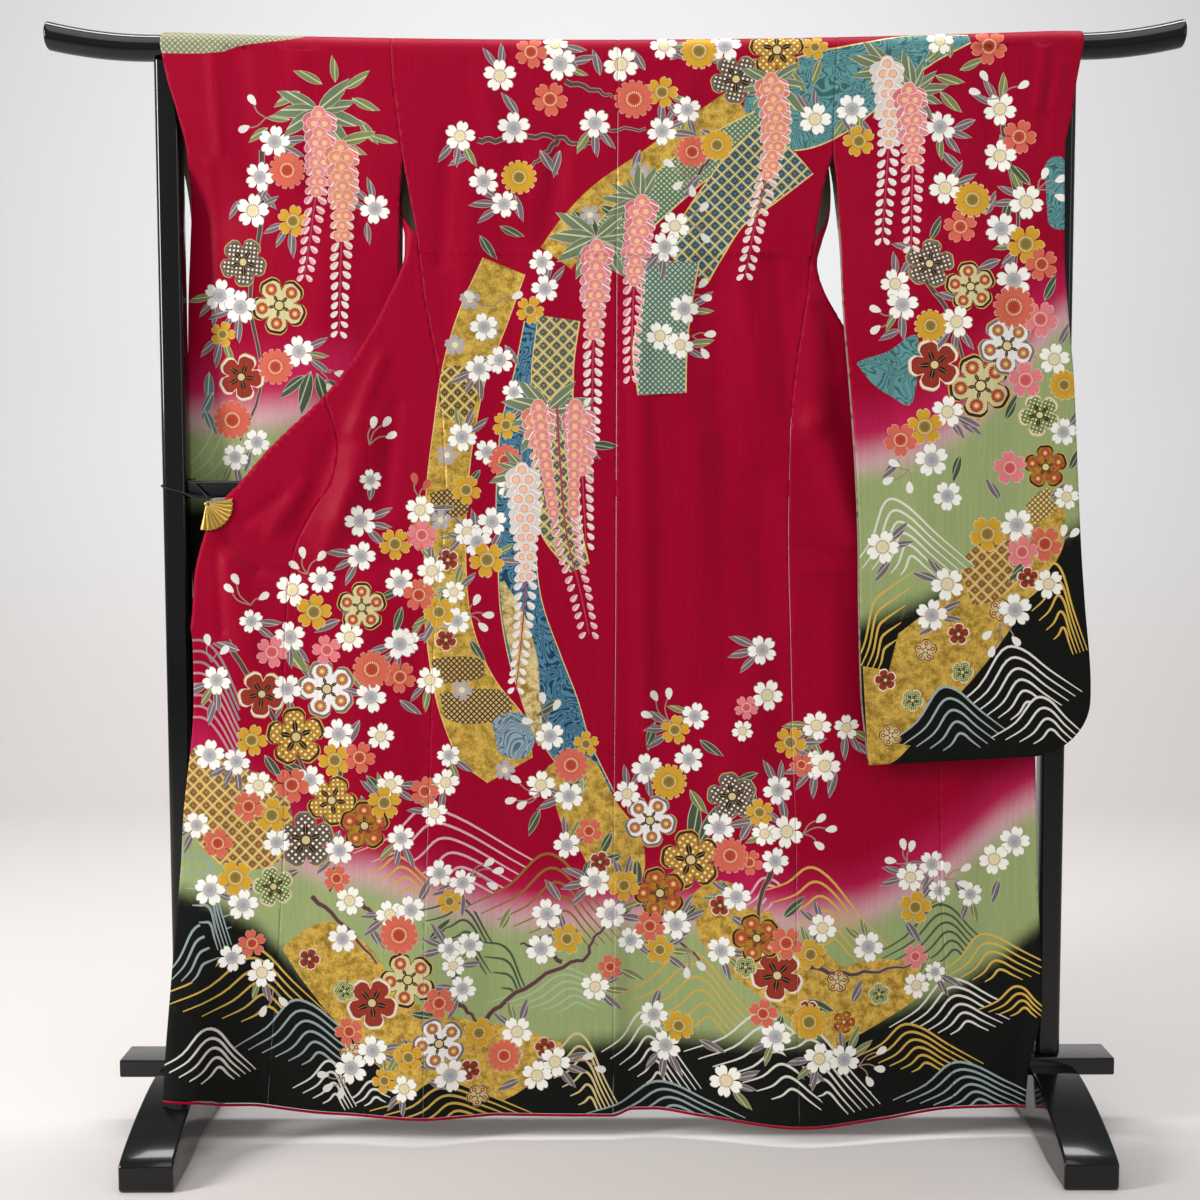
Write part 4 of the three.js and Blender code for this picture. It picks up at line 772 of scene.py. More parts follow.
def rounded_line(points, steps=6):
    """A smooth line through points: Catmull-Rom, worked out as whole arrays."""
    p = np.concatenate([[2 * points[0] - points[1]], points, [2 * points[-1] - points[-2]]])
    t = np.linspace(0, 1, steps, endpoint=False)[None, :, None]
    a, b, c, d = p[:-3, None], p[1:-2, None], p[2:-1, None], p[3:, None]
    mid = 0.5 * (2 * b + (c - a) * t + (2 * a - 5 * b + 4 * c - d) * t ** 2 + (3 * b - a - 3 * c + d)
                 * t ** 3)
    return np.concatenate([mid.reshape(-1, points.shape[1]), points[-1:]])


def chance(*key):
    """A repeatable number from 0 to 1 for a place: the fraction of a large sine."""
    return abs(math.sin(sum(k * w for k, w in zip(key, (12.9898, 78.233, 37.719)))) * 43758.5453) % 1


# ---- Silk: its finishes -----------------------------------------------------------------------------
# Heavy silk crepe with a satin face. Every paint reads the dye colours carried by the cloth, and
# its pattern in the motif's own frame; ground and bands are in metres, flowers in their own radius.


def silk_base(name, roughness=0.46, crepe=0.35):
    """Woven silk: a soft satin gloss over the fine pebble of crepe, drawn at 1.1 mm, about twice its
    real size, so that it still shows; longer slubs run up the cloth."""
    material, tree, shader = new_material(name)
    place = add(tree, "TexCoord").outputs["Object"]
    dye = add(tree, "Attribute", attribute_name="dye").outputs["Color"]
    pebble = add(tree, "TexNoise", {"Vector": place, "Scale": 900.0, "Detail": 2.0, "Roughness": 0.6})
    long = add(tree, "Mapping", {"Vector": place, "Scale": (260.0, 260.0, 9.0)})
    slub = add(tree, "TexNoise", {"Vector": long.outputs[0], "Scale": 1.0, "Detail": 2.0})
    cloud = add(tree, "TexNoise", {"Vector": place, "Scale": 7.0, "Detail": 3.0})
    height = add(tree, "Math", {0: pebble.outputs[0], 1: slub.outputs[0]}, operation="ADD")
    bump = add(tree, "Bump", {"Strength": crepe, "Distance": 0.0006, "Height": height.outputs[0]})
    rough = add(tree, "MapRange", {0: cloud.outputs[0], 1: 0.3, 2: 0.7, 3: roughness - 0.05,
                                   4: roughness + 0.06})
    tree.links.new(rough.outputs[0], shader.inputs["Roughness"])
    tree.links.new(bump.outputs[0], shader.inputs["Normal"])
    shader.inputs["Specular IOR Level"].default_value = 0.06
    return material, tree, shader, dye, height.outputs[0]


def dyed_crepe():
    """The ground: dye soaked into crepe, very slightly mottled by painted light on the pebble: paler on its
    crests as painted highlight, darker in its hollows as painted shade.
    """
    material, tree, shader, dye, height = silk_base("dyed_silk_crepe")
    # Painted highlight and shade: the dye is raised on the pebble's crests and lowered in its hollows.
    tone = add(tree, "MapRange", {0: height, 1: 0.7, 2: 1.3, 3: 0.9, 4: 1.08})
    shade = add(tree, "CombineXYZ", {0: tone.outputs[0], 1: tone.outputs[0], 2: tone.outputs[0]})
    final = add(tree, "Mix", {0: 1.0, 6: dye, 7: shade.outputs[0]}, data_type="RGBA", blend_type="MULTIPLY")
    tree.links.new(final.outputs[2], shader.inputs["Base Color"])
    return material


def lining_silk():
    """Plain thin silk behind the crepe: a quiet brown grey, smooth, with the weave's soft cross lines."""
    material, tree, shader = new_material("lining_silk")
    place = add(tree, "TexCoord").outputs["Object"]
    weave = add(tree, "TexNoise", {"Vector": place, "Scale": 700.0, "Detail": 2.0})
    cloud = add(tree, "TexNoise", {"Vector": place, "Scale": 9.0, "Detail": 3.0})
    tone = add(tree, "Mix", {0: cloud.outputs[0], 6: rgba("#7E6E5A"), 7: rgba("#9A8E7C")}, data_type="RGBA")
    bump = add(tree, "Bump", {"Strength": 0.25, "Distance": 0.0005, "Height": weave.outputs[0]})
    tree.links.new(tone.outputs[2], shader.inputs["Base Color"])
    tree.links.new(bump.outputs[0], shader.inputs["Normal"])
    shader.inputs["Roughness"].default_value = 0.5
    shader.inputs["Sheen Weight"].default_value = 0.1
    return material


def printed_silk(name, roughness, crepe):
    """Silk for a motif: its two dyes, and the place within the motif's own frame."""
    material, tree, shader, dye, _ = silk_base(name, roughness, crepe)
    heart = add(tree, "Attribute", attribute_name="heart").outputs["Color"]
    spot = add(tree, "UVMap", uv_map="print").outputs[0]
    return material, tree, shader, dye, heart, spot


def polar(tree, spot):
    """A flower's own polar place: radius (0 at its heart, 1 at the petal tips) and angle."""
    radius = add(tree, "VectorMath", {0: spot}, operation="LENGTH").outputs["Value"]
    split = add(tree, "SeparateXYZ", {0: spot})
    angle = add(tree, "Math", {0: split.outputs[1], 1: split.outputs[0]}, operation="ARCTAN2").outputs[0]
    return radius, angle


def painted_petal():
    """A painted flower: its heart's colour fades outward into the petals, fine veins run to the
    tips, and a ring of short stamens is drawn round the heart."""
    material, tree, shader, dye, heart, spot = printed_silk("painted_petal", 0.55, 0.2)
    radius, angle = polar(tree, spot)
    fade = add(tree, "MapRange", {0: radius, 1: 0.12, 2: 0.62}, interpolation_type="SMOOTHSTEP")
    body = add(tree, "Mix", {0: fade.outputs[0], 6: heart, 7: dye}, data_type="RGBA")
    turns = add(tree, "Math", {0: angle, 1: 22.0}, operation="MULTIPLY")
    dash = add(tree, "Math", {0: turns.outputs[0]}, operation="SINE")
    dash = add(tree, "MapRange", {0: dash.outputs[0], 1: -0.1, 2: 0.3})
    off = add(tree, "Math", {0: radius, 1: 0.36}, operation="SUBTRACT")
    off = add(tree, "Math", {0: off.outputs[0]}, operation="ABSOLUTE")
    ring = add(tree, "MapRange", {0: off.outputs[0], 1: 0.065, 2: 0.03})
    stamen = add(tree, "Math", {0: ring.outputs[0], 1: dash.outputs[0]}, operation="MULTIPLY")
    light = add(tree, "RGBToBW", {0: heart})
    light = add(tree, "MapRange", {0: light.outputs[0], 1: 0.25, 2: 0.35})
    tips = add(tree, "Mix", {0: light.outputs[0], 6: rgba("#EBD9A8"), 7: rgba("#5E5250")}, data_type="RGBA")
    body = add(tree, "Mix", {0: stamen.outputs[0], 6: body.outputs[2], 7: tips.outputs[2]}, data_type="RGBA")
    veins = add(tree, "Math", {0: angle, 1: 45.0}, operation="MULTIPLY")
    veins = add(tree, "Math", {0: veins.outputs[0]}, operation="SINE")
    veins = add(tree, "MapRange", {0: veins.outputs[0], 1: 0.2, 2: 1.0, 3: 0.0, 4: 0.16})
    body = add(tree, "Mix", {0: veins.outputs[0], 6: body.outputs[2], 7: heart}, data_type="RGBA")
    tree.links.new(body.outputs[2], shader.inputs["Base Color"])
    return material


def painted_leaf():
    """A painted leaf: a pale midrib and pale outline, and a shade that deepens towards the base."""
    material, tree, shader, dye, heart, spot = printed_silk("painted_leaf", 0.55, 0.2)
    split = add(tree, "SeparateXYZ", {0: spot})
    side = add(tree, "Math", {0: split.outputs[1]}, operation="ABSOLUTE")
    rib = add(tree, "MapRange", {0: side.outputs[0], 1: 0.022, 2: 0.008})
    base = add(tree, "MapRange", {0: split.outputs[0], 1: 0.0, 2: 1.0, 3: 0.25, 4: 0.0})
    shade = add(tree, "Mix", {0: base.outputs[0], 6: dye, 7: rgba("#2E2A2C")}, data_type="RGBA")
    final = add(tree, "Mix", {0: rib.outputs[0], 6: shade.outputs[2], 7: heart}, data_type="RGBA")
    tree.links.new(final.outputs[2], shader.inputs["Base Color"])
    return material


def gold_leaf():
    """Gold leaf pressed on paste: bright and metallic where whole, worn to ochre in cloudy patches."""
    material, tree, shader, dye, heart, spot = printed_silk("gold_leaf", 0.42, 0.3)
    cloud = add(tree, "TexNoise", {"Vector": spot, "Scale": 60.0, "Detail": 4.0, "Roughness": 0.7})
    worn = add(tree, "MapRange", {0: cloud.outputs[0], 1: 0.42, 2: 0.62})
    fleck = add(tree, "TexVoronoi", {"Vector": spot, "Scale": 260.0})
    grain = add(tree, "MapRange", {0: fleck.outputs["Distance"], 1: 0.1, 2: 0.7, 3: 0.8, 4: 1.08})
    shade = add(tree, "CombineXYZ", {0: grain.outputs[0], 1: grain.outputs[0], 2: grain.outputs[0]})
    tone = add(tree, "Mix", {0: worn.outputs[0], 6: dye, 7: heart}, data_type="RGBA")
    tone = add(tree, "Mix", {0: 1.0, 6: tone.outputs[2], 7: shade.outputs[0]}, data_type="RGBA",
               blend_type="MULTIPLY")
    metal = add(tree, "MapRange", {0: worn.outputs[0], 3: 0.45, 4: 0.1})
    tree.links.new(tone.outputs[2], shader.inputs["Base Color"])
    tree.links.new(metal.outputs[0], shader.inputs["Metallic"])
    return material


def swirl_band():
    """Marbled water: dark, evenly spaced lines bent into eddies about 40 mm across."""
    material, tree, shader, dye, heart, spot = printed_silk("marbled_water", 0.5, 0.25)
    eddy = add(tree, "TexNoise", {"Vector": spot, "Scale": 26.0, "Detail": 1.0, "Distortion": 1.2})
    rings = add(tree, "Math", {0: eddy.outputs[0], 1: 75.0}, operation="MULTIPLY")
    rings = add(tree, "Math", {0: rings.outputs[0]}, operation="SINE")
    line = add(tree, "MapRange", {0: rings.outputs[0], 1: 0.1, 2: 0.7})
    tone = add(tree, "Mix", {0: line.outputs[0], 6: dye, 7: heart}, data_type="RGBA")
    tree.links.new(tone.outputs[2], shader.inputs["Base Color"])
    return material


def diagonal_grid(tree, spot, pitch):
    """A diagonal grid: the place within each lozenge, from -0.5 to 0.5 both ways."""
    turned = add(tree, "Mapping", {"Vector": spot, "Rotation": (0, 0, math.pi / 4),
                                   "Scale": (1000 / pitch, 1000 / pitch, 1)})
    cell = add(tree, "VectorMath", {0: turned.outputs[0]}, operation="FRACTION")
    return add(tree, "VectorMath", {0: cell.outputs[0], 1: (0.5, 0.5, 0.0)}, operation="SUBTRACT").outputs[0]


def from_middle(tree, middle):
    """How far a place lies from a lozenge's middle: across, up, and the larger of the two."""
    cell = add(tree, "SeparateXYZ", {0: middle})
    wide = add(tree, "Math", {0: cell.outputs[0]}, operation="ABSOLUTE")
    tall = add(tree, "Math", {0: cell.outputs[1]}, operation="ABSOLUTE")
    edge = add(tree, "Math", {0: wide.outputs[0], 1: tall.outputs[0]}, operation="MAXIMUM")
    return wide, tall, edge


def cloisonne_band():
    """A traditional interlocking ground: gold net lines over a mottled field, and a four-petalled
    dark blue flower in every lozenge, 14 mm apart."""
    material, tree, shader, dye, heart, spot = printed_silk("gold_net_and_flowers", 0.46, 0.3)
    middle = diagonal_grid(tree, spot, 14.0)
    wide, tall, edge = from_middle(tree, middle)
    net = add(tree, "MapRange", {0: edge.outputs[0], 1: 0.41, 2: 0.45})
    reach = add(tree, "VectorMath", {0: middle}, operation="LENGTH").outputs["Value"]
    cross = add(tree, "Math", {0: wide.outputs[0], 1: tall.outputs[0]}, operation="MULTIPLY")
    petal = add(tree, "MapRange", {0: cross.outputs[0], 1: 0.004, 2: 0.010})
    bloom = add(tree, "MapRange", {0: reach, 1: 0.34, 2: 0.30})
    flower = add(tree, "Math", {0: petal.outputs[0], 1: bloom.outputs[0]}, operation="MULTIPLY")
    cloud = add(tree, "TexNoise", {"Vector": spot, "Scale": 130.0, "Detail": 3.0})
    mottle = add(tree, "MapRange", {0: cloud.outputs[0], 1: 0.45, 2: 0.6})
    field = add(tree, "Mix", {0: mottle.outputs[0], 6: dye, 7: rgba("#7C7448")}, data_type="RGBA")
    field = add(tree, "Mix", {0: flower.outputs[0], 6: field.outputs[2], 7: heart}, data_type="RGBA")
    field = add(tree, "Mix", {0: net.outputs[0], 6: field.outputs[2], 7: rgba("#D9C27A")}, data_type="RGBA")
    tree.links.new(field.outputs[2], shader.inputs["Base Color"])
    return material


def lattice_band():
    """Woven-looking lattice: pale square dots in a dark net, 6 mm apart."""
    material, tree, shader, dye, heart, spot = printed_silk("dotted_lattice", 0.52, 0.25)
    _, _, edge = from_middle(tree, diagonal_grid(tree, spot, 6.0))
    dot = add(tree, "MapRange", {0: edge.outputs[0], 1: 0.36, 2: 0.30})
    tone = add(tree, "Mix", {0: dot.outputs[0], 6: dye, 7: heart}, data_type="RGBA")
    tree.links.new(tone.outputs[2], shader.inputs["Base Color"])
    return material


def check_petal():
    """Small dotted check inside an outlined petal, twelve rows to a flower."""
    material, tree, shader, dye, heart, spot = printed_silk("checked_petal", 0.55, 0.2)
    reach = add(tree, "VectorMath", {0: diagonal_grid(tree, spot, 170.0)},
                operation="LENGTH").outputs["Value"]
    dot = add(tree, "MapRange", {0: reach, 1: 0.3, 2: 0.22})
    tone = add(tree, "Mix", {0: dot.outputs[0], 6: dye, 7: heart}, data_type="RGBA")
    tree.links.new(tone.outputs[2], shader.inputs["Base Color"])
    return material


SILKS = [dyed_crepe(), lining_silk(), painted_petal(), painted_leaf(), gold_leaf(), swirl_band(),
         cloisonne_band(), lattice_band(), check_petal()]


# ---- Silk: its bands and waves ------------------------------------------------------------------------
# Cloud bands of gold leaf, marbled water and small traditional grounds run down the cloth, and
# bundles of wave lines cross the hem. Places are read in pixels of the camera's frame.

GOLD, OCHRE, PALE_GOLD = "#D9B252", "#94732C", "#E3CE92"


def band(where, path, paint, dye, heart, rim=3.0):
    """A strip whose centre line and width run smoothly through (across, down, width) rows, laid on
    a strip of gold that is wider by the rim."""
    rows = rounded_line(np.array(path, float), 7)
    if rim:
        stamp(where, seen_at(where, *ribbon(rows[:, :2], rows[:, 2] + rim).T), "gold_leaf", PALE_GOLD, GOLD)
    stamp(where, seen_at(where, *ribbon(rows[:, :2], rows[:, 2]).T), paint, dye, heart)


def patch(where, corners, paint, dye, heart, rim=None):
    """A cloud: a closed smooth outline through its corners, with an optional darker rim line."""
    corners = np.array(corners, float)
    outline = rounded_line(np.concatenate([corners[-2:], corners, corners[:2]]), 6)[12:-12]
    if rim:
        middle = outline.mean(0)
        out = outline + (outline - middle) * (2.0 / np.linalg.norm(outline - middle, axis=1))[:, None]
        stamp(where, seen_at(where, *out.T), "leaf", rim, rim)
    stamp(where, seen_at(where, *outline.T), paint, dye, heart)


for where in ("body", "right_sleeve"):
    band(where, [(970, 38, 8), (925, 48, 34), (880, 68, 56), (830, 92, 84), (785, 108, 84), (745, 100, 44)],
         "swirl", "#5F8E90", "#37625F")
band("body", [(740, 103, 34), (690, 135, 30), (648, 168, 34), (608, 198, 38), (578, 228, 38), (556, 258, 38)],
     "gold_leaf", GOLD, OCHRE, 0)
band("body", [(762, 124, 28), (708, 156, 34), (662, 192, 38), (626, 225, 42), (603, 258, 54)],
     "lattice", "#41604E", "#A9B38C")
band("body", [(790, 146, 70), (752, 178, 66), (722, 208, 54), (698, 244, 54), (683, 266, 58)],
     "cloisonne", "#4E7480", "#233A4C")
band("body", [(669, 261, 58), (666, 308, 48), (660, 350, 52), (662, 394, 46)],
      "lattice", "#3F5E58", "#A7B79B")
band("body", [(558, 318, 42), (552, 362, 42), (552, 420, 40), (553, 480, 40), (560, 525, 40), (580, 568, 18)],
     "cloisonne", "#8E8A60", "#2A3D55")
band("body", [(504, 266, 44), (483, 318, 48), (465, 370, 44), (454, 430, 40), (447, 490, 40), (445, 550, 40),
              (447, 612, 44), (456, 660, 52), (470, 700, 64), (493, 740, 76), (510, 770, 50)],
     "gold_leaf", GOLD, OCHRE, 2.0)
patch("body", [(441, 372), (460, 366), (477, 380), (474, 408), (456, 422), (439, 408)],
      "cloisonne", "#9A7A3A", "#3A2A22")
patch("body", [(430, 494), (464, 490), (466, 514), (432, 516)], "lattice", "#3B2B22", "#B99A5C")
patch("body", [(431, 660), (478, 658), (480, 678), (434, 682)], "lattice", "#3B2B22", "#B99A5C")
patch("body", [(440, 694), (500, 690), (510, 716), (470, 724), (444, 716)], "lattice", "#3B2B22", "#C2A468")
patch("body", [(492, 722), (520, 712), (536, 734), (524, 758), (498, 752)], "swirl", "#8A9AA2", "#4C6472")
band("body", [(531, 322, 12), (523, 372, 16), (517, 430, 32), (515, 500, 37), (517, 560, 37), (522, 610, 42),
              (536, 662, 50), (553, 706, 50), (572, 750, 40), (608, 796, 14)], "swirl", "#4E7A90", "#1F3C50",
              2.0)
band("body", [(502, 582, 5), (514, 618, 22), (525, 660, 25), (530, 695, 20), (541, 745, 6)],
     "gold_leaf", PALE_GOLD, OCHRE, 0)
patch("body", [(283, 948), (330, 920), (370, 945), (400, 985), (440, 1010), (520, 1030), (575, 1050),
               (555, 1066),
               (505, 1100), (450, 1110), (400, 1080), (345, 1030), (300, 975)], "gold_leaf", GOLD, OCHRE)
patch("body", [(185, 770), (200, 745), (240, 765), (285, 790), (290, 850), (250, 870), (215, 860),
               (183, 815)],
      "cloisonne", "#B08A46", "#7E3A2C")
patch("body", [(545, 770), (590, 758), (615, 800), (642, 840), (640, 882), (600, 882), (580, 850),
               (560, 820)],
      "gold_leaf", GOLD, OCHRE)
patch("body", [(690, 900), (720, 880), (760, 900), (800, 945), (870, 955), (905, 960), (925, 990),
               (850, 1035),
               (820, 1040), (770, 1000), (740, 980), (700, 940)], "gold_leaf", GOLD, OCHRE)
patch("left_sleeve", [(150, 30), (292, 30), (292, 38), (240, 46), (214, 53), (150, 51)],
      "lattice", "#6F7358", "#A9A88A")
patch("right_sleeve", [(856, 364), (887, 352), (917, 337), (912, 402), (890, 396), (870, 382)],
      "swirl", "#5F8E90", "#37625F")
patch("right_sleeve", [(1044, 168), (1062, 158), (1075, 190), (1070, 226), (1048, 222)],
      "swirl", "#5F8E90", "#37625F")
patch("right_sleeve", [(862, 657), (900, 632), (940, 597), (980, 547), (1055, 507), (1066, 525), (1060, 555),
                       (1030, 600), (980, 670), (922, 732), (892, 763), (868, 764)], "gold_leaf", GOLD, OCHRE)
patch("right_sleeve", [(958, 566), (992, 538), (1022, 552), (1010, 590), (972, 604)],
      "cloisonne", "#B08A46", "#7E3A2C")
patch("right_sleeve", [(1026, 506), (1048, 488), (1056, 508), (1034, 524)], "lattice", "#6C5230", "#D9C27A")


WAVE_SPREAD, WAVE_THINNING, WAVE_DEPTH = 1.22, 0.72, 0.86


def wave(where, left, crest, right, lines, code, weight=2.5):
    """A bundle of wave lines: each rises in a hollow curve from the left, rounds its crest and drops
    to the right, and lies inside the last, drawn towards a foot under the crest. The outermost
    first covers what lies below the bundle with the ground's colours."""
    left, crest, right = (np.array(p, float) for p in (left, crest, right))
    middle = (left + crest + right) / 3
    left, crest, right = (middle + (p - middle) * WAVE_SPREAD for p in (left, crest, right))
    lines = round(WAVE_THINNING * lines)
    foot = np.array([crest[0] * 0.65 + right[0] * 0.35, max(left[1], right[1]) + 0.10 * (right[0] - left[0])])
    hollow = (0, 0.14 * (left[1] - crest[1]))
    for k in range(lines):
        share = WAVE_DEPTH * k / lines
        ends = [p + (foot - p) * share for p in (left, left * 0.5 + crest * 0.5 + hollow,
                                                 left * 0.12 + crest * 0.88 + (0, -1),
                                                 crest * 0.85 + right * 0.15 + (2, -1),
                                                 crest * 0.45 + right * 0.55, right)]
        path = rounded_line(np.array(ends), 4)
        if k == 0:
            stamp(where, seen_at(where, *np.concatenate([path, [foot]]).T), "crepe")
        taper = weight * (0.35 + 0.65 * np.sin(np.linspace(0.1, math.pi, len(path))))
        stamp(where, seen_at(where, *ribbon(path, taper).T), "leaf", code, code)


FOAM, MIST, SPRUCE, MOSS, PINK_FOAM = "#E4E0D4", "#9FB0AE", "#4E5C46", "#B7C79A", "#E3B6BE"
WAVES = {
    "body": [
        ((372, 852), (435, 812), (560, 880), 8, PINK_FOAM), ((370, 875), (400, 858), (440, 890), 5, GOLD),
        ((173, 988), (250, 948), (313, 1006), 9, GOLD), ((175, 964), (200, 925), (232, 915), 5, MIST),
        ((178, 860), (205, 862), (228, 932), 7, MIST), ((250, 1040), (300, 1002), (370, 1052), 8, MIST),
        ((425, 912), (462, 900), (500, 960), 9, SPRUCE), ((480, 905), (550, 858), (612, 930), 9, OCHRE),
        ((480, 945), (505, 950), (530, 1000), 6, SPRUCE), ((500, 1000), (560, 970), (612, 992), 8, MOSS),
        ((620, 1000), (690, 955), (750, 1020), 9, GOLD),
        ((545, 1062), (580, 1038), (615, 1106), 9, PALE_GOLD),
        ((610, 1052), (645, 1018), (692, 1082), 9, FOAM), ((700, 1052), (765, 1015), (852, 1082), 10, FOAM),
        ((740, 902), (765, 878), (800, 902), 5, PINK_FOAM), ((770, 892), (815, 870), (880, 942), 8, GOLD),
        ((880, 952), (940, 908), (986, 950), 9, SPRUCE), ((945, 972), (985, 938), (1045, 966), 7, GOLD),
        ((900, 1022), (950, 982), (1012, 1012), 8, FOAM), ((865, 1052), (908, 1026), (972, 1062), 8, GOLD),
        ((780, 1037), (810, 1026), (868, 1092), 9, FOAM), ((350, 1098), (372, 1080), (392, 1088), 4, FOAM),
        ((300, 1085), (330, 1062), (352, 1100), 6, FOAM), ((180, 1050), (215, 1022), (250, 1062), 7, FOAM),
        ((385, 1106), (440, 1078), (520, 1112), 8, GOLD), ((905, 1096), (960, 1066), (1032, 1098), 8, MIST),
        ((600, 1112), (660, 1086), (730, 1112), 7, MIST), ((985, 1010), (1018, 990), (1045, 1012), 6, GOLD)],
    "right_sleeve": [
        ((862, 562), (892, 503), (962, 562), 8, FOAM), ((860, 655), (876, 600), (908, 578), 7, GOLD),
        ((1030, 602), (1056, 568), (1082, 642), 7, GOLD), ((960, 705), (1010, 650), (1070, 690), 8, FOAM),
        ((900, 738), (945, 690), (998, 730), 7, MIST), ((1000, 735), (1040, 700), (1080, 735), 6, FOAM)],
    "left_sleeve": [
        ((185, 470), (225, 420), (262, 470), 6, MOSS)],
}
for where, rows in WAVES.items():
    for row in rows:
        wave(where, *row)
for k in range(8):
    path = rounded_line(np.array([(190, 640 + 11 * k), (206, 642 + 11 * k), (222, 660 + 11 * k),
                                  (240, 700 + 10 * k)], float), 5)
    stamp("body", seen_at("body", *ribbon(path, 2.4).T), "leaf", "#C98F98" if k > 2 else "#9A8A90")


# ---- Silk: its branches and leaves --------------------------------------------------------------------
# Plum branches are single dark strokes. Leaves are drawn with a pale resist line all round.

BRANCHES = {
    "body": [
        [(478, 140), (500, 140), (530, 136), (560, 137), (580, 146), (595, 140), (612, 130), (646, 129)],
        [(558, 139), (546, 152), (532, 166)], [(565, 81), (595, 90), (613, 97)],
        [(480, 1024), (507, 1000), (555, 970), (587, 957), (590, 945), (605, 927), (640, 905)],
        [(562, 962), (540, 948), (520, 944)], [(800, 960), (835, 970), (870, 970), (912, 964)],
        [(312, 896), (345, 925), (378, 962)], [(362, 902), (380, 920), (405, 950)],
        [(458, 1000), (470, 1012), (480, 1024)], [(228, 640), (262, 700), (300, 760), (330, 830)],
        [(640, 900), (668, 930), (700, 960)], [(770, 870), (758, 905), (762, 950)],
        [(690, 195), (700, 172), (716, 150)]],
    "right_sleeve": [
        [(1000, 98), (1006, 150), (1018, 215), (1012, 300)],
        [(905, 262), (940, 300), (960, 350), (978, 420)]],
    "left_sleeve": [
        [(262, 150), (262, 220), (250, 300), (262, 380), (240, 440)]],
}
for where, paths in BRANCHES.items():
    for path in paths:
        path = rounded_line(np.array(path, float), 5)
        path = path + np.column_stack([np.zeros(len(path)), 1.6 * np.sin(1.9 * np.arange(len(path)))])
        width = np.linspace(4.6, 1.6, len(path))
        stamp(where, seen_at(where, *ribbon(path, width + 1.4).T), "leaf", "#B59A88", "#B59A88")
        stamp(where, seen_at(where, *ribbon(path, width).T), "leaf", "#5C4440", "#5C4440")

BLADE = blade(0.29, 0.10)
FOREST, DUSK = ("#46543E", "#A9B08C"), ("#74676C", "#C4B9B8")
OLIVE, SAGE = ("#7B8450", "#C8CC98"), ("#5F7F78", "#BFCFC2")


def leaf(where, base, angle, length, tone):
    """A leaf of a given length in pixels, on a slightly larger pale shape that leaves a fine rim."""
    centre = seen_at(where, *base)
    size, turn = length * PIXEL, math.radians(angle)
    out = set_down(BLADE * [1.04, 1.12] + [-0.02, 0], centre, turn, size)
    stamp(where, out, "leaf", "#C4BDAA", "#C4BDAA")
    stamp(where, set_down(BLADE, centre, turn, size), "leaf", tone[0], tone[1], centre, turn, size)


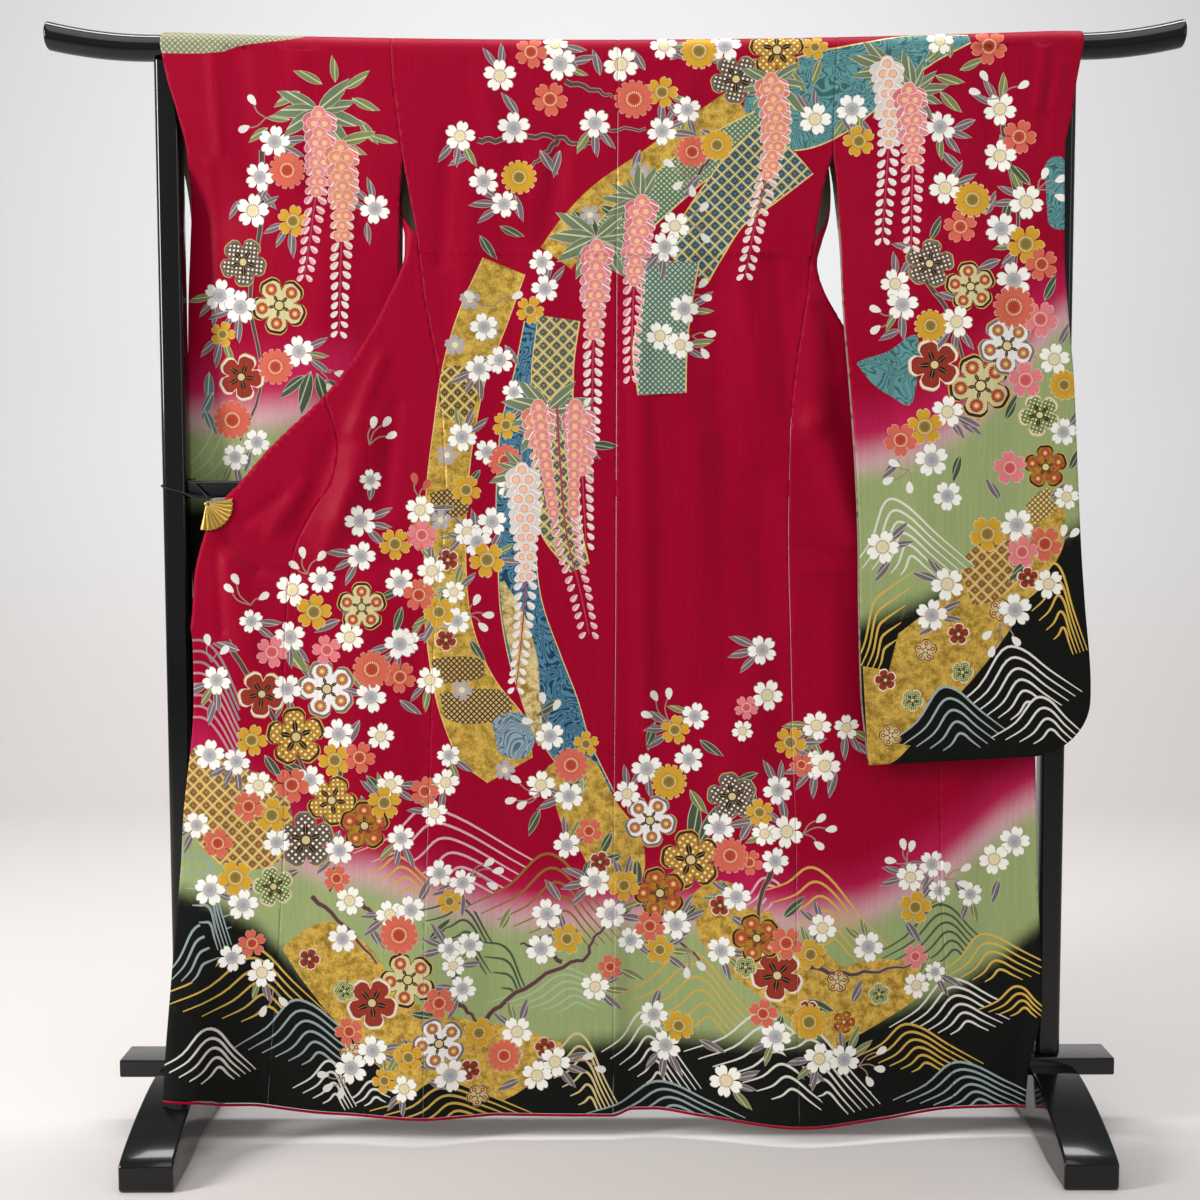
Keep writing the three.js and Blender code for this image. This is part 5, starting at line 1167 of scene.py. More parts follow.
LEAVES = [
    ("left_sleeve", OLIVE, [(300, 92, 205, 30), (300, 96, 250, 28), (322, 84, 150, 30), (345, 88, 30, 30),
        (352, 98, -30, 30), (330, 120, 235, 34), (300, 140, 200, 26), (360, 120, -60, 30),
        (372, 136, -20, 26), (290, 120, 170, 24), (335, 82, 90, 26), (268, 128, 210, 24)]),
    ("left_sleeve", DUSK, [(262, 190, 300, 24), (240, 200, 230, 22), (228, 300, 160, 22),
        (312, 360, 320, 24), (250, 450, 250, 24), (368, 224, 270, 22)]),
    ("left_sleeve", FOREST, [(312, 372, 250, 44), (318, 374, 285, 42), (306, 376, 215, 34),
        (326, 380, 320, 34)]),
    ("left_sleeve", SAGE, [(208, 372, 265, 34), (212, 392, 240, 30), (204, 410, 290, 28)]),
    ("body", FOREST, [(575, 442, 320, 30), (580, 452, 290, 30), (590, 444, 350, 28), (572, 210, 310, 34),
        (590, 215, 280, 34), (600, 206, 330, 34), (612, 225, 255, 30), (480, 236, 300, 28),
        (500, 226, 330, 26), (400, 590, 200, 26), (402, 607, 250, 28), (257, 728, 220, 30),
        (265, 755, 300, 30), (282, 762, 330, 28), (342, 762, 250, 30), (367, 775, 310, 30),
        (362, 795, 280, 26), (337, 864, 250, 30), (448, 963, 300, 30), (445, 984, 220, 30),
        (381, 1035, 230, 30), (403, 1035, 310, 30), (412, 1010, 350, 28), (430, 938, 40, 30),
        (612, 832, 240, 28), (622, 855, 200, 30), (637, 860, 270, 30), (692, 842, 80, 46),
        (700, 842, 60, 40), (720, 880, 300, 30), (697, 905, 220, 30), (757, 772, 200, 28),
        (755, 792, 250, 28), (782, 915, 40, 30), (781, 1010, 250, 32), (805, 995, 330, 30),
        (515, 545, 300, 26), (480, 470, 230, 24), (655, 722, 250, 30), (700, 740, 320, 28),
        (470, 640, 300, 26), (560, 700, 210, 28), (540, 810, 240, 28), (590, 860, 250, 26),
        (660, 770, 200, 28)]),
    ("body", DUSK, [(518, 115, 120, 28), (540, 150, 300, 30), (700, 130, 330, 30), (645, 70, 120, 26),
        (600, 75, 100, 26), (560, 150, 250, 28), (515, 195, 280, 28), (640, 150, 250, 26),
        (670, 60, 40, 24), (720, 65, 130, 26), (700, 175, 230, 28), (470, 155, 200, 24),
        (505, 345, 300, 24), (370, 500, 80, 24), (300, 600, 330, 28), (340, 620, 200, 28),
        (240, 650, 160, 28), (300, 660, 300, 30), (360, 720, 240, 28), (215, 700, 250, 26),
        (400, 700, 320, 26), (340, 830, 250, 28), (300, 870, 200, 30), (420, 900, 60, 28),
        (370, 925, 300, 28), (560, 900, 120, 26), (640, 905, 30, 28), (730, 915, 330, 28),
        (660, 990, 250, 28), (700, 1040, 330, 28), (560, 1050, 200, 28), (800, 1060, 320, 28),
        (740, 840, 60, 28), (520, 1080, 200, 26), (430, 1075, 330, 26), (850, 740, 320, 26),
        (835, 770, 250, 28), (1000, 880, 250, 26), (955, 880, 300, 26), (905, 920, 300, 28),
        (850, 1000, 60, 26)]),
    ("body", OLIVE, [(280, 640, 305, 44), (760, 60, 200, 28), (790, 70, 300, 28), (820, 60, 250, 26),
        (420, 545, 310, 26), (575, 800, 60, 28), (690, 790, 300, 30), (770, 830, 200, 28),
        (500, 930, 60, 26), (620, 970, 330, 28)]),
    ("right_sleeve", OLIVE, [(895, 72, 205, 28), (905, 66, 160, 28), (925, 62, 40, 30),
        (935, 76, -20, 30), (940, 92, -50, 30), (915, 90, 250, 30), (960, 70, 20, 26), (888, 96, 230, 26),
        (950, 58, 90, 24)]),
    ("right_sleeve", DUSK, [(975, 120, 200, 28), (1000, 135, 300, 26), (960, 170, 130, 28),
        (985, 215, 60, 26), (915, 250, 160, 24), (1000, 260, 200, 28), (960, 300, 160, 26),
        (1020, 335, 300, 28), (940, 345, 200, 26), (900, 330, 200, 24), (1060, 345, 60, 24),
        (960, 420, 320, 26), (900, 460, 220, 26), (1000, 500, 120, 26), (890, 560, 230, 26),
        (940, 620, 210, 26), (1050, 500, 40, 24)]),
    ("right_sleeve", FOREST, [(1030, 185, 130, 30), (1010, 200, 250, 28), (930, 240, 60, 26),
        (1045, 300, 60, 28), (985, 350, 40, 30), (1005, 420, 60, 28), (960, 455, 250, 28),
        (1070, 470, 60, 24), (1030, 560, 220, 30)])
]
for where, tone, rows in LEAVES:
    for x, y, angle, length in rows:
        leaf(where, (x, y), angle, length, tone)


# ---- Silk: its large patterned flowers ---------------------------------------------------------------
# Five broad petals in a thick outline, filled with dotted check, small blossoms or a gold ground.

BROAD, ROUND = rosette(5, 0.56, 0.07, 9, 0.5), rosette(5, 0.38, 0.17, 12, 0.42)
DISC = rosette(14, 0.9, 0.0, 2, 1.0)
SPOKE = blade(0.42, 0.0, 4)
STYLES = {
    "cream": ("#3A2118", "#C9BE8C", "#9E2E2A", "daisies"),
    "white_check": ("#6E6A6A", "#5C4C40", "#E6E0D2", "check"),
    "rust": ("#EFE8D8", "#8E3326", "#E6C9A0", "plain"), "gold": ("#4A2A1A", "#A97C2E", "#E9D79A", "check"),
    "pearl": ("#77767E", "#E4E0DA", "#9C5A3C", "daisies"),
    "gold_small": ("#3E241A", "#B0862F", "#A33C2C", "daisies"),
    "moss": ("#DDD6BC", "#6E7A48", "#D9DDA6", "check"),
}


def patterned_flower(where, across, down, width, style):
    """A flower in layers: a fine gold line, a thick outline, the petals with their dotted check or
    small daisies, a dark spoke down each petal, and a round heart."""
    rim, fill, accent, manner = STYLES[style]
    centre, size = seen_at(where, across, down), width / 2 * PIXEL
    turn = 1.26 * chance(across, down)
    stamp(where, set_down(BROAD, centre, turn, size * 1.02), "leaf", GOLD, GOLD)
    stamp(where, set_down(BROAD, centre, turn, size * 0.98), "leaf", rim, rim)
    inner = set_down(BROAD * 0.98, centre, turn, size * 0.90)
    stamp(where, inner, "check" if manner == "check" else "gold_leaf" if style == "gold_small" else "crepe",
          fill, accent,
          centre, turn, size if manner == "check" else 1000.0)
    for k in range(5):
        angle = turn + math.pi / 2 + k * 2 * math.pi / 5
        axis = np.array([math.cos(angle), math.sin(angle)])
        if manner == "daisies":
            spot = centre + 0.60 * size * axis
            stamp(where, set_down(FRILL, spot, angle, size * 0.22), "petal", accent, "#E8C070", spot, angle,
                  size * 0.22)
        spot = centre + 0.14 * size * axis
        stamp(where, set_down(SPOKE, spot, angle, size * (0.28 if manner == "daisies" else 0.44)), "leaf",
              "#241714", "#B99A5C",
              spot, angle, size * 0.44)
    stamp(where, set_down(DISC, centre, 0, size * 0.2), "leaf", "#3A241C", "#3A241C")
    stamp(where, set_down(DISC, centre, 0, size * 0.15), "leaf", PALE_GOLD, PALE_GOLD)


FRILL = rosette(14, 0.76, 0.05, 6, 0.7)
PATTERNED = {
    "left_sleeve": {"white_check": [(243, 262, 50)], "cream": [(280, 306, 60)], "rust": [(241, 377, 50)]},
    "body": {"white_check": [(736, 79, 52), (306, 840, 60), (732, 796, 52)], "gold": [(777, 50, 57),
        (296, 737, 62), (332, 800, 54), (691, 860, 64)], "cream": [(362, 607, 52), (409, 977, 60)],
        "rust": [(262, 694, 50), (373, 1001, 56), (776, 972, 56)], "pearl": [(327, 689, 62),
        (440, 1040, 56), (650, 821, 56)], "gold_small": [(365, 825, 53), (660, 894, 56), (756, 936, 52)],
        "moss": [(274, 886, 44)]},
    "right_sleeve": {"white_check": [(929, 264, 50)], "cream": [(970, 287, 52), (980, 386, 66)],
        "pearl": [(1007, 346, 60)], "rust": [(934, 365, 54)], "gold_small": [(1046, 467, 46)],
        "moss": [(1040, 415, 44)]}
}

# Smaller medallions, scattered over the gold clouds.
MEDALLIONS = [
    ("body", [
        (310, 958, "rust"), (345, 990, "moss"), (352, 1050, "cream"), (412, 1052, "gold_small"),
        (470, 1068, "rust"), (512, 1056, "moss"), (478, 1094, "cream"), (545, 1048, "rust"),
        (720, 905, "rust"), (745, 965, "moss"), (806, 1006, "rust"), (836, 978, "cream"),
        (878, 992, "moss"), (842, 1018, "gold_small"), (600, 862, "rust"), (448, 560, "rust"),
        (446, 595, "moss"), (446, 640, "rust"), (574, 785, "moss")]),
    ("right_sleeve", [
        (885, 680, "rust"), (912, 700, "moss"), (925, 650, "cream"), (958, 634, "rust"),
        (890, 735, "cream"), (962, 672, "moss"), (1000, 610, "cream"), (1036, 545, "moss"),
        (1028, 578, "rust")]),
]


# ---- Silk: its small blossoms ------------------------------------------------------------------------
# Plum and cherry blossoms of five notched petals, chrysanthemums of fourteen, and buds on stalks.

BLOSSOMS = {"white": ("#F1EEE4", "#9C9BA0", "#B7B3B6"), "cream": ("#F1EEE4", "#DCCB9E", "#B9B4A8"),
            "yellow": ("#CB9A2C", "#7C6A34", "#E9D39A"), "salmon": ("#CC6450", "#A83E2E", "#E3A48C"),
            "pink": ("#D97A80", "#C2525C", "#EBB8B4")}


def blossom(where, across, down, width, kind, outline=ROUND):
    """A blossom on a slightly larger outline in its rim's colour; each is turned by its own angle,
    and about two in five of the white ones are cream."""
    if kind == "white" and chance(down, across) > 0.6:
        kind = "cream"
    dye, heart, rim = BLOSSOMS[kind]
    centre, size = seen_at(where, across, down), width / 2 * PIXEL
    turn = 1.26 * chance(across, down)
    stamp(where, set_down(outline, centre, turn, size * 1.05), "leaf", rim, rim)
    stamp(where, set_down(outline, centre, turn, size), "petal", dye, heart, centre, turn, size)


def leaf_spray(where, across, down, width):
    """Two or three narrow dusk-coloured leaves that fan out from under a blossom."""
    way = 360 * chance(down, width, across)
    for k in range(2 + (chance(across) > 0.4)):
        angle = math.radians(way + 34 * (k - 1))
        reach = 0.30 * width
        leaf(where, (across + reach * math.cos(angle), down - reach * math.sin(angle)), math.degrees(angle),
             20 + 7 * chance(across, k), DUSK if chance(k, down, 3) > 0.2 else OLIVE)


t = np.linspace(0, 2 * math.pi, 11)[:-1]
DROP = np.column_stack([0.5 - 0.5 * np.cos(t), 0.36 * np.sin(t) * np.sin(t / 2) ** 0.6])


def bud_cluster(where, buds, base, kind="white"):
    """Drop-shaped buds on thin curved stalks that meet at one point."""
    dye = BLOSSOMS[kind][0]
    foot = np.array(base, float)
    for bud in buds:
        spot = np.array(bud, float)
        bend = (spot + foot) / 2 + (spot - foot)[::-1] * [0.15, -0.15]
        stamp(where, seen_at(where, *ribbon(rounded_line(np.array([foot, bend, spot]), 3), 1.3).T), "leaf",
              "#A58A78", "#A58A78")
        turn = math.atan2(foot[1] - spot[1], spot[0] - foot[0])
        start = seen_at(where, *(spot - [5 * math.cos(turn), -5 * math.sin(turn)]))
        stamp(where, set_down(DROP, start, turn, 12.5 * PIXEL), "leaf", dye, dye)


SCATTER = {
    "left_sleeve": {"white": [(275, 142, 32), (260, 177, 30), (253, 211, 34), (376, 210, 31),
            (219, 295, 33), (240, 307, 34), (300, 352, 32), (235, 457, 28), (257, 442, 28)],
        "yellow": [(294, 222, 32), (222, 334, 26)],
        "frill": [(288, 171, 36), (276, 367, 36), (232, 420, 40)]},
    "body": {"white": [(500, 76, 33), (460, 136, 31), (514, 128, 33), (484, 181, 30), (504, 204, 28),
            (560, 64, 34), (555, 44, 26), (595, 123, 31), (621, 64, 35), (687, 110, 28), (662, 131, 30),
            (664, 46, 28), (725, 45, 33), (675, 226, 30), (665, 247, 30), (542, 262, 26), (545, 289, 28),
            (484, 327, 29), (479, 369, 28), (500, 360, 28), (514, 392, 24), (684, 309, 30),
            (660, 336, 29), (680, 345, 28), (815, 119, 33), (462, 437, 30), (487, 452, 26),
            (510, 486, 28), (492, 522, 30), (420, 510, 30), (467, 532, 28), (477, 542, 30),
            (432, 571, 30), (454, 592, 24), (457, 621, 28), (406, 642, 28), (430, 680, 28),
            (550, 736, 30), (449, 755, 24), (446, 782, 28), (647, 769, 32), (689, 759, 30),
            (695, 716, 28), (541, 785, 30), (569, 796, 30), (627, 794, 28), (371, 480, 22),
            (361, 521, 32), (361, 556, 30), (400, 582, 30), (292, 590, 34), (322, 580, 28),
            (252, 621, 24), (290, 637, 32), (350, 637, 30), (400, 644, 32), (217, 680, 30),
            (287, 689, 30), (371, 697, 32), (339, 734, 32), (381, 736, 28), (210, 755, 32),
            (237, 761, 28), (259, 785, 30), (310, 780, 30), (391, 784, 28), (197, 825, 28),
            (435, 813, 27), (277, 842, 28), (340, 850, 30), (402, 837, 28), (211, 889, 32),
            (244, 904, 32), (440, 872, 28), (463, 882, 28), (350, 900, 30), (391, 913, 30),
            (412, 908, 30), (343, 938, 30), (234, 955, 28), (263, 971, 30), (470, 944, 28),
            (450, 947, 24), (454, 964, 24), (463, 987, 28), (374, 1048, 32), (352, 1066, 34),
            (406, 1084, 28), (451, 1072, 34), (777, 789, 30), (816, 764, 30), (742, 730, 22),
            (567, 845, 28), (719, 827, 32), (764, 832, 26), (786, 830, 34), (595, 882, 32),
            (611, 914, 32), (774, 859, 28), (547, 914, 32), (541, 949, 32), (631, 941, 28),
            (676, 925, 32), (736, 896, 30), (721, 950, 30), (821, 925, 30), (595, 987, 30),
            (654, 1016, 30), (666, 1047, 32), (517, 1032, 32), (555, 1062, 32), (537, 1076, 32),
            (774, 1032, 32), (817, 1053, 32), (726, 1079, 34), (762, 650, 30), (767, 695, 32),
            (816, 725, 30), (846, 727, 26), (824, 765, 32), (932, 864, 28), (910, 877, 30),
            (939, 891, 24), (971, 895, 26), (1015, 842, 32), (995, 860, 32), (867, 945, 32),
            (935, 972, 22), (916, 985, 28), (842, 1055, 32)],
        "yellow": [(815, 47, 26), (662, 92, 32), (530, 310, 28), (506, 425, 28), (466, 490, 30),
            (487, 560, 36), (439, 612, 32), (586, 744, 26), (675, 730, 30), (395, 544, 32),
            (314, 612, 36), (252, 740, 32), (335, 760, 34), (385, 802, 34), (272, 815, 36),
            (236, 877, 36), (450, 900, 26), (410, 1053, 30), (386, 1077, 26), (479, 1032, 32),
            (790, 742, 32), (759, 811, 28), (624, 886, 32), (567, 939, 32), (660, 951, 30),
            (809, 951, 32), (679, 1027, 32), (915, 907, 34)],
        "salmon": [(531, 52, 32), (550, 99, 35), (421, 536, 30), (419, 595, 32), (425, 791, 30),
            (400, 677, 32), (360, 757, 32), (292, 785, 36), (249, 806, 32), (218, 843, 32),
            (253, 942, 28), (337, 878, 28), (350, 1030, 30), (440, 1000, 32), (589, 831, 28),
            (801, 764, 24), (749, 861, 26), (650, 927, 32), (785, 940, 34), (610, 967, 26),
            (762, 1010, 30)],
        "pink": [(422, 535, 30), (272, 652, 32), (327, 650, 30), (746, 707, 24), (915, 956, 26)],
        "frill": [(634, 99, 39), (692, 152, 33), (505, 461, 34), (571, 765, 36), (372, 669, 38),
            (400, 933, 40), (730, 855, 36), (504, 1056, 34)],
        "golden frill": [(519, 177, 35), (717, 145, 32), (699, 51, 36), (669, 782, 36), (807, 1017, 36)]},
    "right_sleeve": {"white": [(852, 109, 32), (817, 119, 33), (940, 41, 28), (940, 127, 32),
            (1000, 109, 33), (1000, 156, 33), (945, 188, 33), (1001, 229, 33), (1026, 202, 35),
            (895, 284, 30), (902, 305, 32), (1014, 280, 36), (956, 322, 32), (1055, 359, 32),
            (947, 412, 32), (931, 460, 34), (947, 496, 30), (882, 547, 34), (1064, 432, 28),
            (1067, 497, 26), (1017, 525, 34), (947, 584, 34), (931, 615, 32), (1049, 584, 30),
            (1015, 610, 34)],
        "yellow": [(859, 141, 32), (1026, 244, 38), (924, 427, 36), (987, 534, 36)],
        "salmon": [(989, 46, 36), (1019, 137, 34), (960, 227, 33), (1042, 264, 33), (900, 440, 34),
            (1045, 544, 36)],
        "pink": [(1041, 319, 36), (1026, 380, 36), (1010, 468, 34), (1022, 552, 32)],
        "frill": [(1014, 307, 42)],
        "golden frill": [(972, 200, 36), (930, 326, 32), (1065, 385, 30)]}
}
for where, kinds in SCATTER.items():
    for kind in ("white", "yellow"):
        for x, y, width in kinds[kind]:
            if chance(x, y, 7) > 0.35:
                leaf_spray(where, x, y, width)
for where, kinds in PATTERNED.items():
    for style, rows in kinds.items():
        for x, y, width in rows:
            patterned_flower(where, x, y, width, style)
for x, y in ((470, 300), (455, 345), (489, 330), (447, 455), (441, 520), (452, 620), (462, 690), (505, 770),
             (590, 215), (640, 172)):
    spot = seen_at("body", x, y)
    stamp("body", set_down(ROUND, spot, x, 11 * PIXEL), "petal", "#A39AA0", "#D8CFAE", spot, x, 11 * PIXEL)
for where, rows in MEDALLIONS:
    for x, y, style in rows:
        patterned_flower(where, x, y, 24, style)
for where, kinds in SCATTER.items():
    for kind, rows in kinds.items():
        for x, y, width in rows:
            colour = {"frill": "salmon", "golden frill": "yellow"}.get(kind, kind)
            blossom(where, x, y, width, colour, FRILL if kind.endswith("frill") else ROUND)

BUDS = {
    "left_sleeve": [
        ([(253, 101), (245, 128)], (266, 118)), ([(340, 374), (330, 388)], (322, 372))],
    "body": [
        ([(374, 424), (386, 423), (390, 436)], (370, 445)),
        ([(237, 580), (231, 589), (263, 597)], (251, 605)),
        ([(303, 554), (321, 557), (295, 566)], (307, 574)), ([(208, 641), (224, 651)], (212, 662)),
        ([(415, 480), (426, 486)], (419, 497), "salmon"), ([(476, 601), (487, 615), (482, 626)], (469, 615)),
        ([(543, 699), (556, 706), (529, 721)], (547, 722)),
        ([(655, 697), (669, 695), (648, 715)], (669, 722)),
        ([(517, 780), (512, 800), (523, 804)], (540, 792)),
        ([(488, 863), (497, 871), (491, 885)], (470, 875)), ([(587, 1057), (599, 1069)], (570, 1062)),
        ([(687, 972), (700, 965)], (687, 952)), ([(819, 818), (829, 828), (817, 843)], (802, 832)),
        ([(903, 845), (911, 847), (891, 860)], (907, 862)),
        ([(947, 869), (965, 869), (962, 884)], (945, 880)),
        ([(879, 1049), (877, 1066), (867, 1077)], (857, 1062)),
        ([(325, 1073), (330, 1085), (342, 1090)], (345, 1075)), ([(265, 1008), (283, 999)], (274, 989)),
        ([(679, 185), (692, 190), (670, 164)], (690, 176)), ([(703, 208), (704, 237)], (690, 224)),
        ([(471, 296), (516, 296)], (494, 306)), ([(702, 284), (705, 297)], (690, 296)),
        ([(709, 334), (704, 352)], (692, 336))],
    "right_sleeve": [
        ([(985, 77), (976, 92), (1022, 86)], (1000, 98)),
        ([(1044, 175), (1059, 180), (1059, 197)], (1038, 190)), ([(876, 310), (876, 329)], (892, 316)),
        ([(895, 464), (889, 480), (909, 486)], (908, 470)), ([(1064, 532), (1074, 534)], (1062, 545)),
        ([(988, 634), (1015, 640), (992, 650)], (1000, 624))],
}
for where, clusters in BUDS.items():
    for cluster in clusters:
        bud_cluster(where, *cluster)


# ---- Silk: its wisteria ------------------------------------------------------------------------------
# Hanging racemes: small petals in rows that narrow to a tip, dark at the top and paler below.

ORB = rosette(3, 0.86, 0.04, 4, 0.8)


def blended(first, second, share):
    """The hex colour that lies a share of the way from the first to the second."""
    pairs = ((int(first[i:i + 2], 16), int(second[i:i + 2], 16)) for i in (1, 3, 5))
    return "#" + "".join(f"{round(a * (1 - share) + b * share):02X}" for a, b in pairs)


def wisteria(where, path, width, top, tip, stem="#B8405A"):
    """A stem down a path of (across, down) points. Pairs of drops hang to either side of it all the
    way down, and over its upper part a column of round florets covers it; all shrink to the tip."""
    line = rounded_line(np.array(path, float), 8)
    run = np.concatenate([[0], np.cumsum(np.linalg.norm(np.diff(line, axis=0), axis=1))])
    stamp(where, seen_at(where, *ribbon(line, np.linspace(2.4, 1.0, len(line))).T), "leaf", stem, stem)
    rows = int(run[-1] / 9.0)
    for row in range(rows):
        share = row / max(1, rows - 1)
        middle = np.array([np.interp(share * run[-1], run, line[:, k]) for k in (0, 1)])
        spread = width * (1 - 0.62 * share)
        size = (12.5 - 4.5 * share) * PIXEL
        blend = min(1.0, 1.2 * share)
        dye = blended(top, tip, blend)
        for side in (-1, 1):
            turn = math.radians(-90 + side * (38 + 14 * chance(row, side, width)))
            spot = middle + [side * spread * 0.16, -3 + 3 * chance(side, row)]
            begin = seen_at(where, *spot)
            stamp(where, set_down(DROP * 1.1 - [0.05, 0], begin, turn, size * (1 + 0.3 * (share < 0.3))),
                  "leaf", "#F0E2DC", "#F0E2DC")
            stamp(where, set_down(DROP, begin, turn, size * (1 + 0.3 * (share < 0.3))), "leaf", dye,
                  "#F4E4DC", begin, turn + 0.2, size * 3)
        if share < 0.5:
            for off in ((-0.22, 0.22) if width > 40 or row % 2 else (0.0,)):
                spot = seen_at(where, *(middle + [off * width * (1 - share) * (1.5 if width > 40 else 1), 2]))
                orb = (7.6 - 4 * share) * PIXEL
                stamp(where, set_down(ORB, spot, row * 1.3, orb * 1.14), "leaf", "#EFC9BE", "#EFC9BE")
                stamp(where, set_down(ORB, spot, row * 1.3, orb), "petal", top, "#E9B08A", spot, 0, orb * 1.4)


def leaf_fan(where, across, down, tone, count, length, first, last):
    """Long narrow leaves that spread from one point, from the first angle to the last."""
    for k in range(count):
        leaf(where, (across, down), first + (last - first) * k / (count - 1),
             length * (0.75 + 0.4 * chance(k, across)), tone)


REED = ("#6E7B5C", "#C3C59E")
for where, x, y, count, length, first, last in (
        ("left_sleeve", 318, 110, 9, 44, 150, 400), ("left_sleeve", 340, 142, 6, 34, 160, 370),
        ("body", 596, 238, 9, 44, 140, 400), ("body", 640, 200, 6, 34, 60, 200),
        ("body", 548, 410, 9, 46, 130, 400),
        ("body", 524, 470, 6, 36, 130, 290), ("body", 772, 82, 7, 40, 150, 390),
        ("right_sleeve", 890, 68, 7, 38, 130, 300), ("right_sleeve", 912, 92, 8, 40, -60, 160)):
    leaf_fan(where, x, y, REED if x != 340 else OLIVE, count, length, first, last)
MAUVE, CORAL, SHELL = "#D9727A", "#DC7A62", "#F0D8D0"
for where, path, width, top, tip in (
        ("left_sleeve", [(319, 112), (320, 160), (314, 220), (306, 278)], 26, MAUVE, "#E8A6B0"),
        ("left_sleeve", [(341, 146), (344, 200), (342, 265), (340, 334)], 26, CORAL, "#EFE9E0"),
        ("body", [(771, 78), (776, 130), (766, 180), (755, 225), (745, 276)], 26, CORAL, SHELL),
        ("body", [(642, 200), (636, 250), (633, 310), (631, 378)], 24, MAUVE, "#E8A6B0"),
        ("body", [(597, 245), (595, 290), (593, 360), (592, 438)], 22, MAUVE, "#EFE9E0"),
        ("body", [(538, 408), (541, 450), (545, 505)], 30, CORAL, SHELL),
        ("body", [(578, 410), (582, 470), (586, 545)], 30, MAUVE, SHELL),
        ("body", [(557, 405), (560, 460), (566, 530), (580, 590), (589, 634)], 56, MAUVE, "#E8A6B0"),
        ("body", [(522, 468), (526, 540), (524, 610), (516, 690)], 30, "#D9D2CE", "#EFE9E0"),
        ("right_sleeve", [(887, 62), (890, 110), (887, 170), (882, 240)], 24, "#DDD6D0", "#F0EBE2"),
        ("right_sleeve", [(909, 88), (913, 140), (912, 190), (911, 248)], 26, MAUVE, SHELL)):
    wisteria(where, path, width, top, tip)


# ---- Silk panels: cut and hung ----------------------------------------------------------------------
# Each panel is cut as its outline, with the motifs laid in it, and hung along its surface. Its
# face and its rim are dyed, and its back is the plain lining, 2 mm behind the face.

SEAM_MARGIN, SEAM_DIP, SEAM_LEAN = 3.5, 0.5, 0.75
CUT_TOLERANCE = 1e-3


def cut_panel(outline, prints, lattice):
    """The flat panel as triangles: outline, motif edges and lattice points in one Delaunay
    triangulation, and for each triangle the topmost motif that it lies in (0 is the ground)."""
    if twice_area(outline) < 0:
        outline = outline[::-1]
    low, high = outline.min(0), outline.max(0)
    inside = [p for p in prints if (p["outline"].max(0) > low).all() and (p["outline"].min(0) < high).all()]
    shapes = [outline] + [p["outline"] for p in inside]
    starts = np.cumsum([0] + [len(s) for s in shapes])
    faces = [list(range(a, b)) for a, b in zip(starts[:-1], starts[1:])]
    points = np.concatenate(shapes + [lattice])
    flat, _, triangles, _, _, owners = delaunay_2d_cdt(points.tolist(), [], faces, 0, CUT_TOLERANCE, True)
    keep = [(tri, max(own)) for tri, own in zip(triangles, owners) if own and min(own) == 0]
    triangles = np.array([tri for tri, _ in keep])
    topmost = np.array([own for _, own in keep])
    flat = np.array([tuple(p) for p in flat])
    used, triangles = np.unique(triangles, return_inverse=True)
    return flat[used], triangles.reshape(-1, 3), topmost, inside


def plain_panel(border, following, lattice):
    """The lining's triangles: the face's own border with plain lattice points inside, and for each
    border point its place among the triangles' corners. following names each border point's next."""
    loop = [0]
    while following[loop[-1]]:
        loop.append(int(following[loop[-1]]))
    points = np.concatenate([border, lattice])
    flat, _, triangles, origins, _, owners = delaunay_2d_cdt(points.tolist(), [], [loop], 0, CUT_TOLERANCE,
        True)
    used, triangles = np.unique([tri for tri, own in zip(triangles, owners) if own], return_inverse=True)
    place = np.full(len(points), -1)
    place[[min(origins[i]) for i in used]] = np.arange(len(used))
    return np.array([tuple(p) for p in flat])[used], triangles.reshape(-1, 3), place[:len(border)]


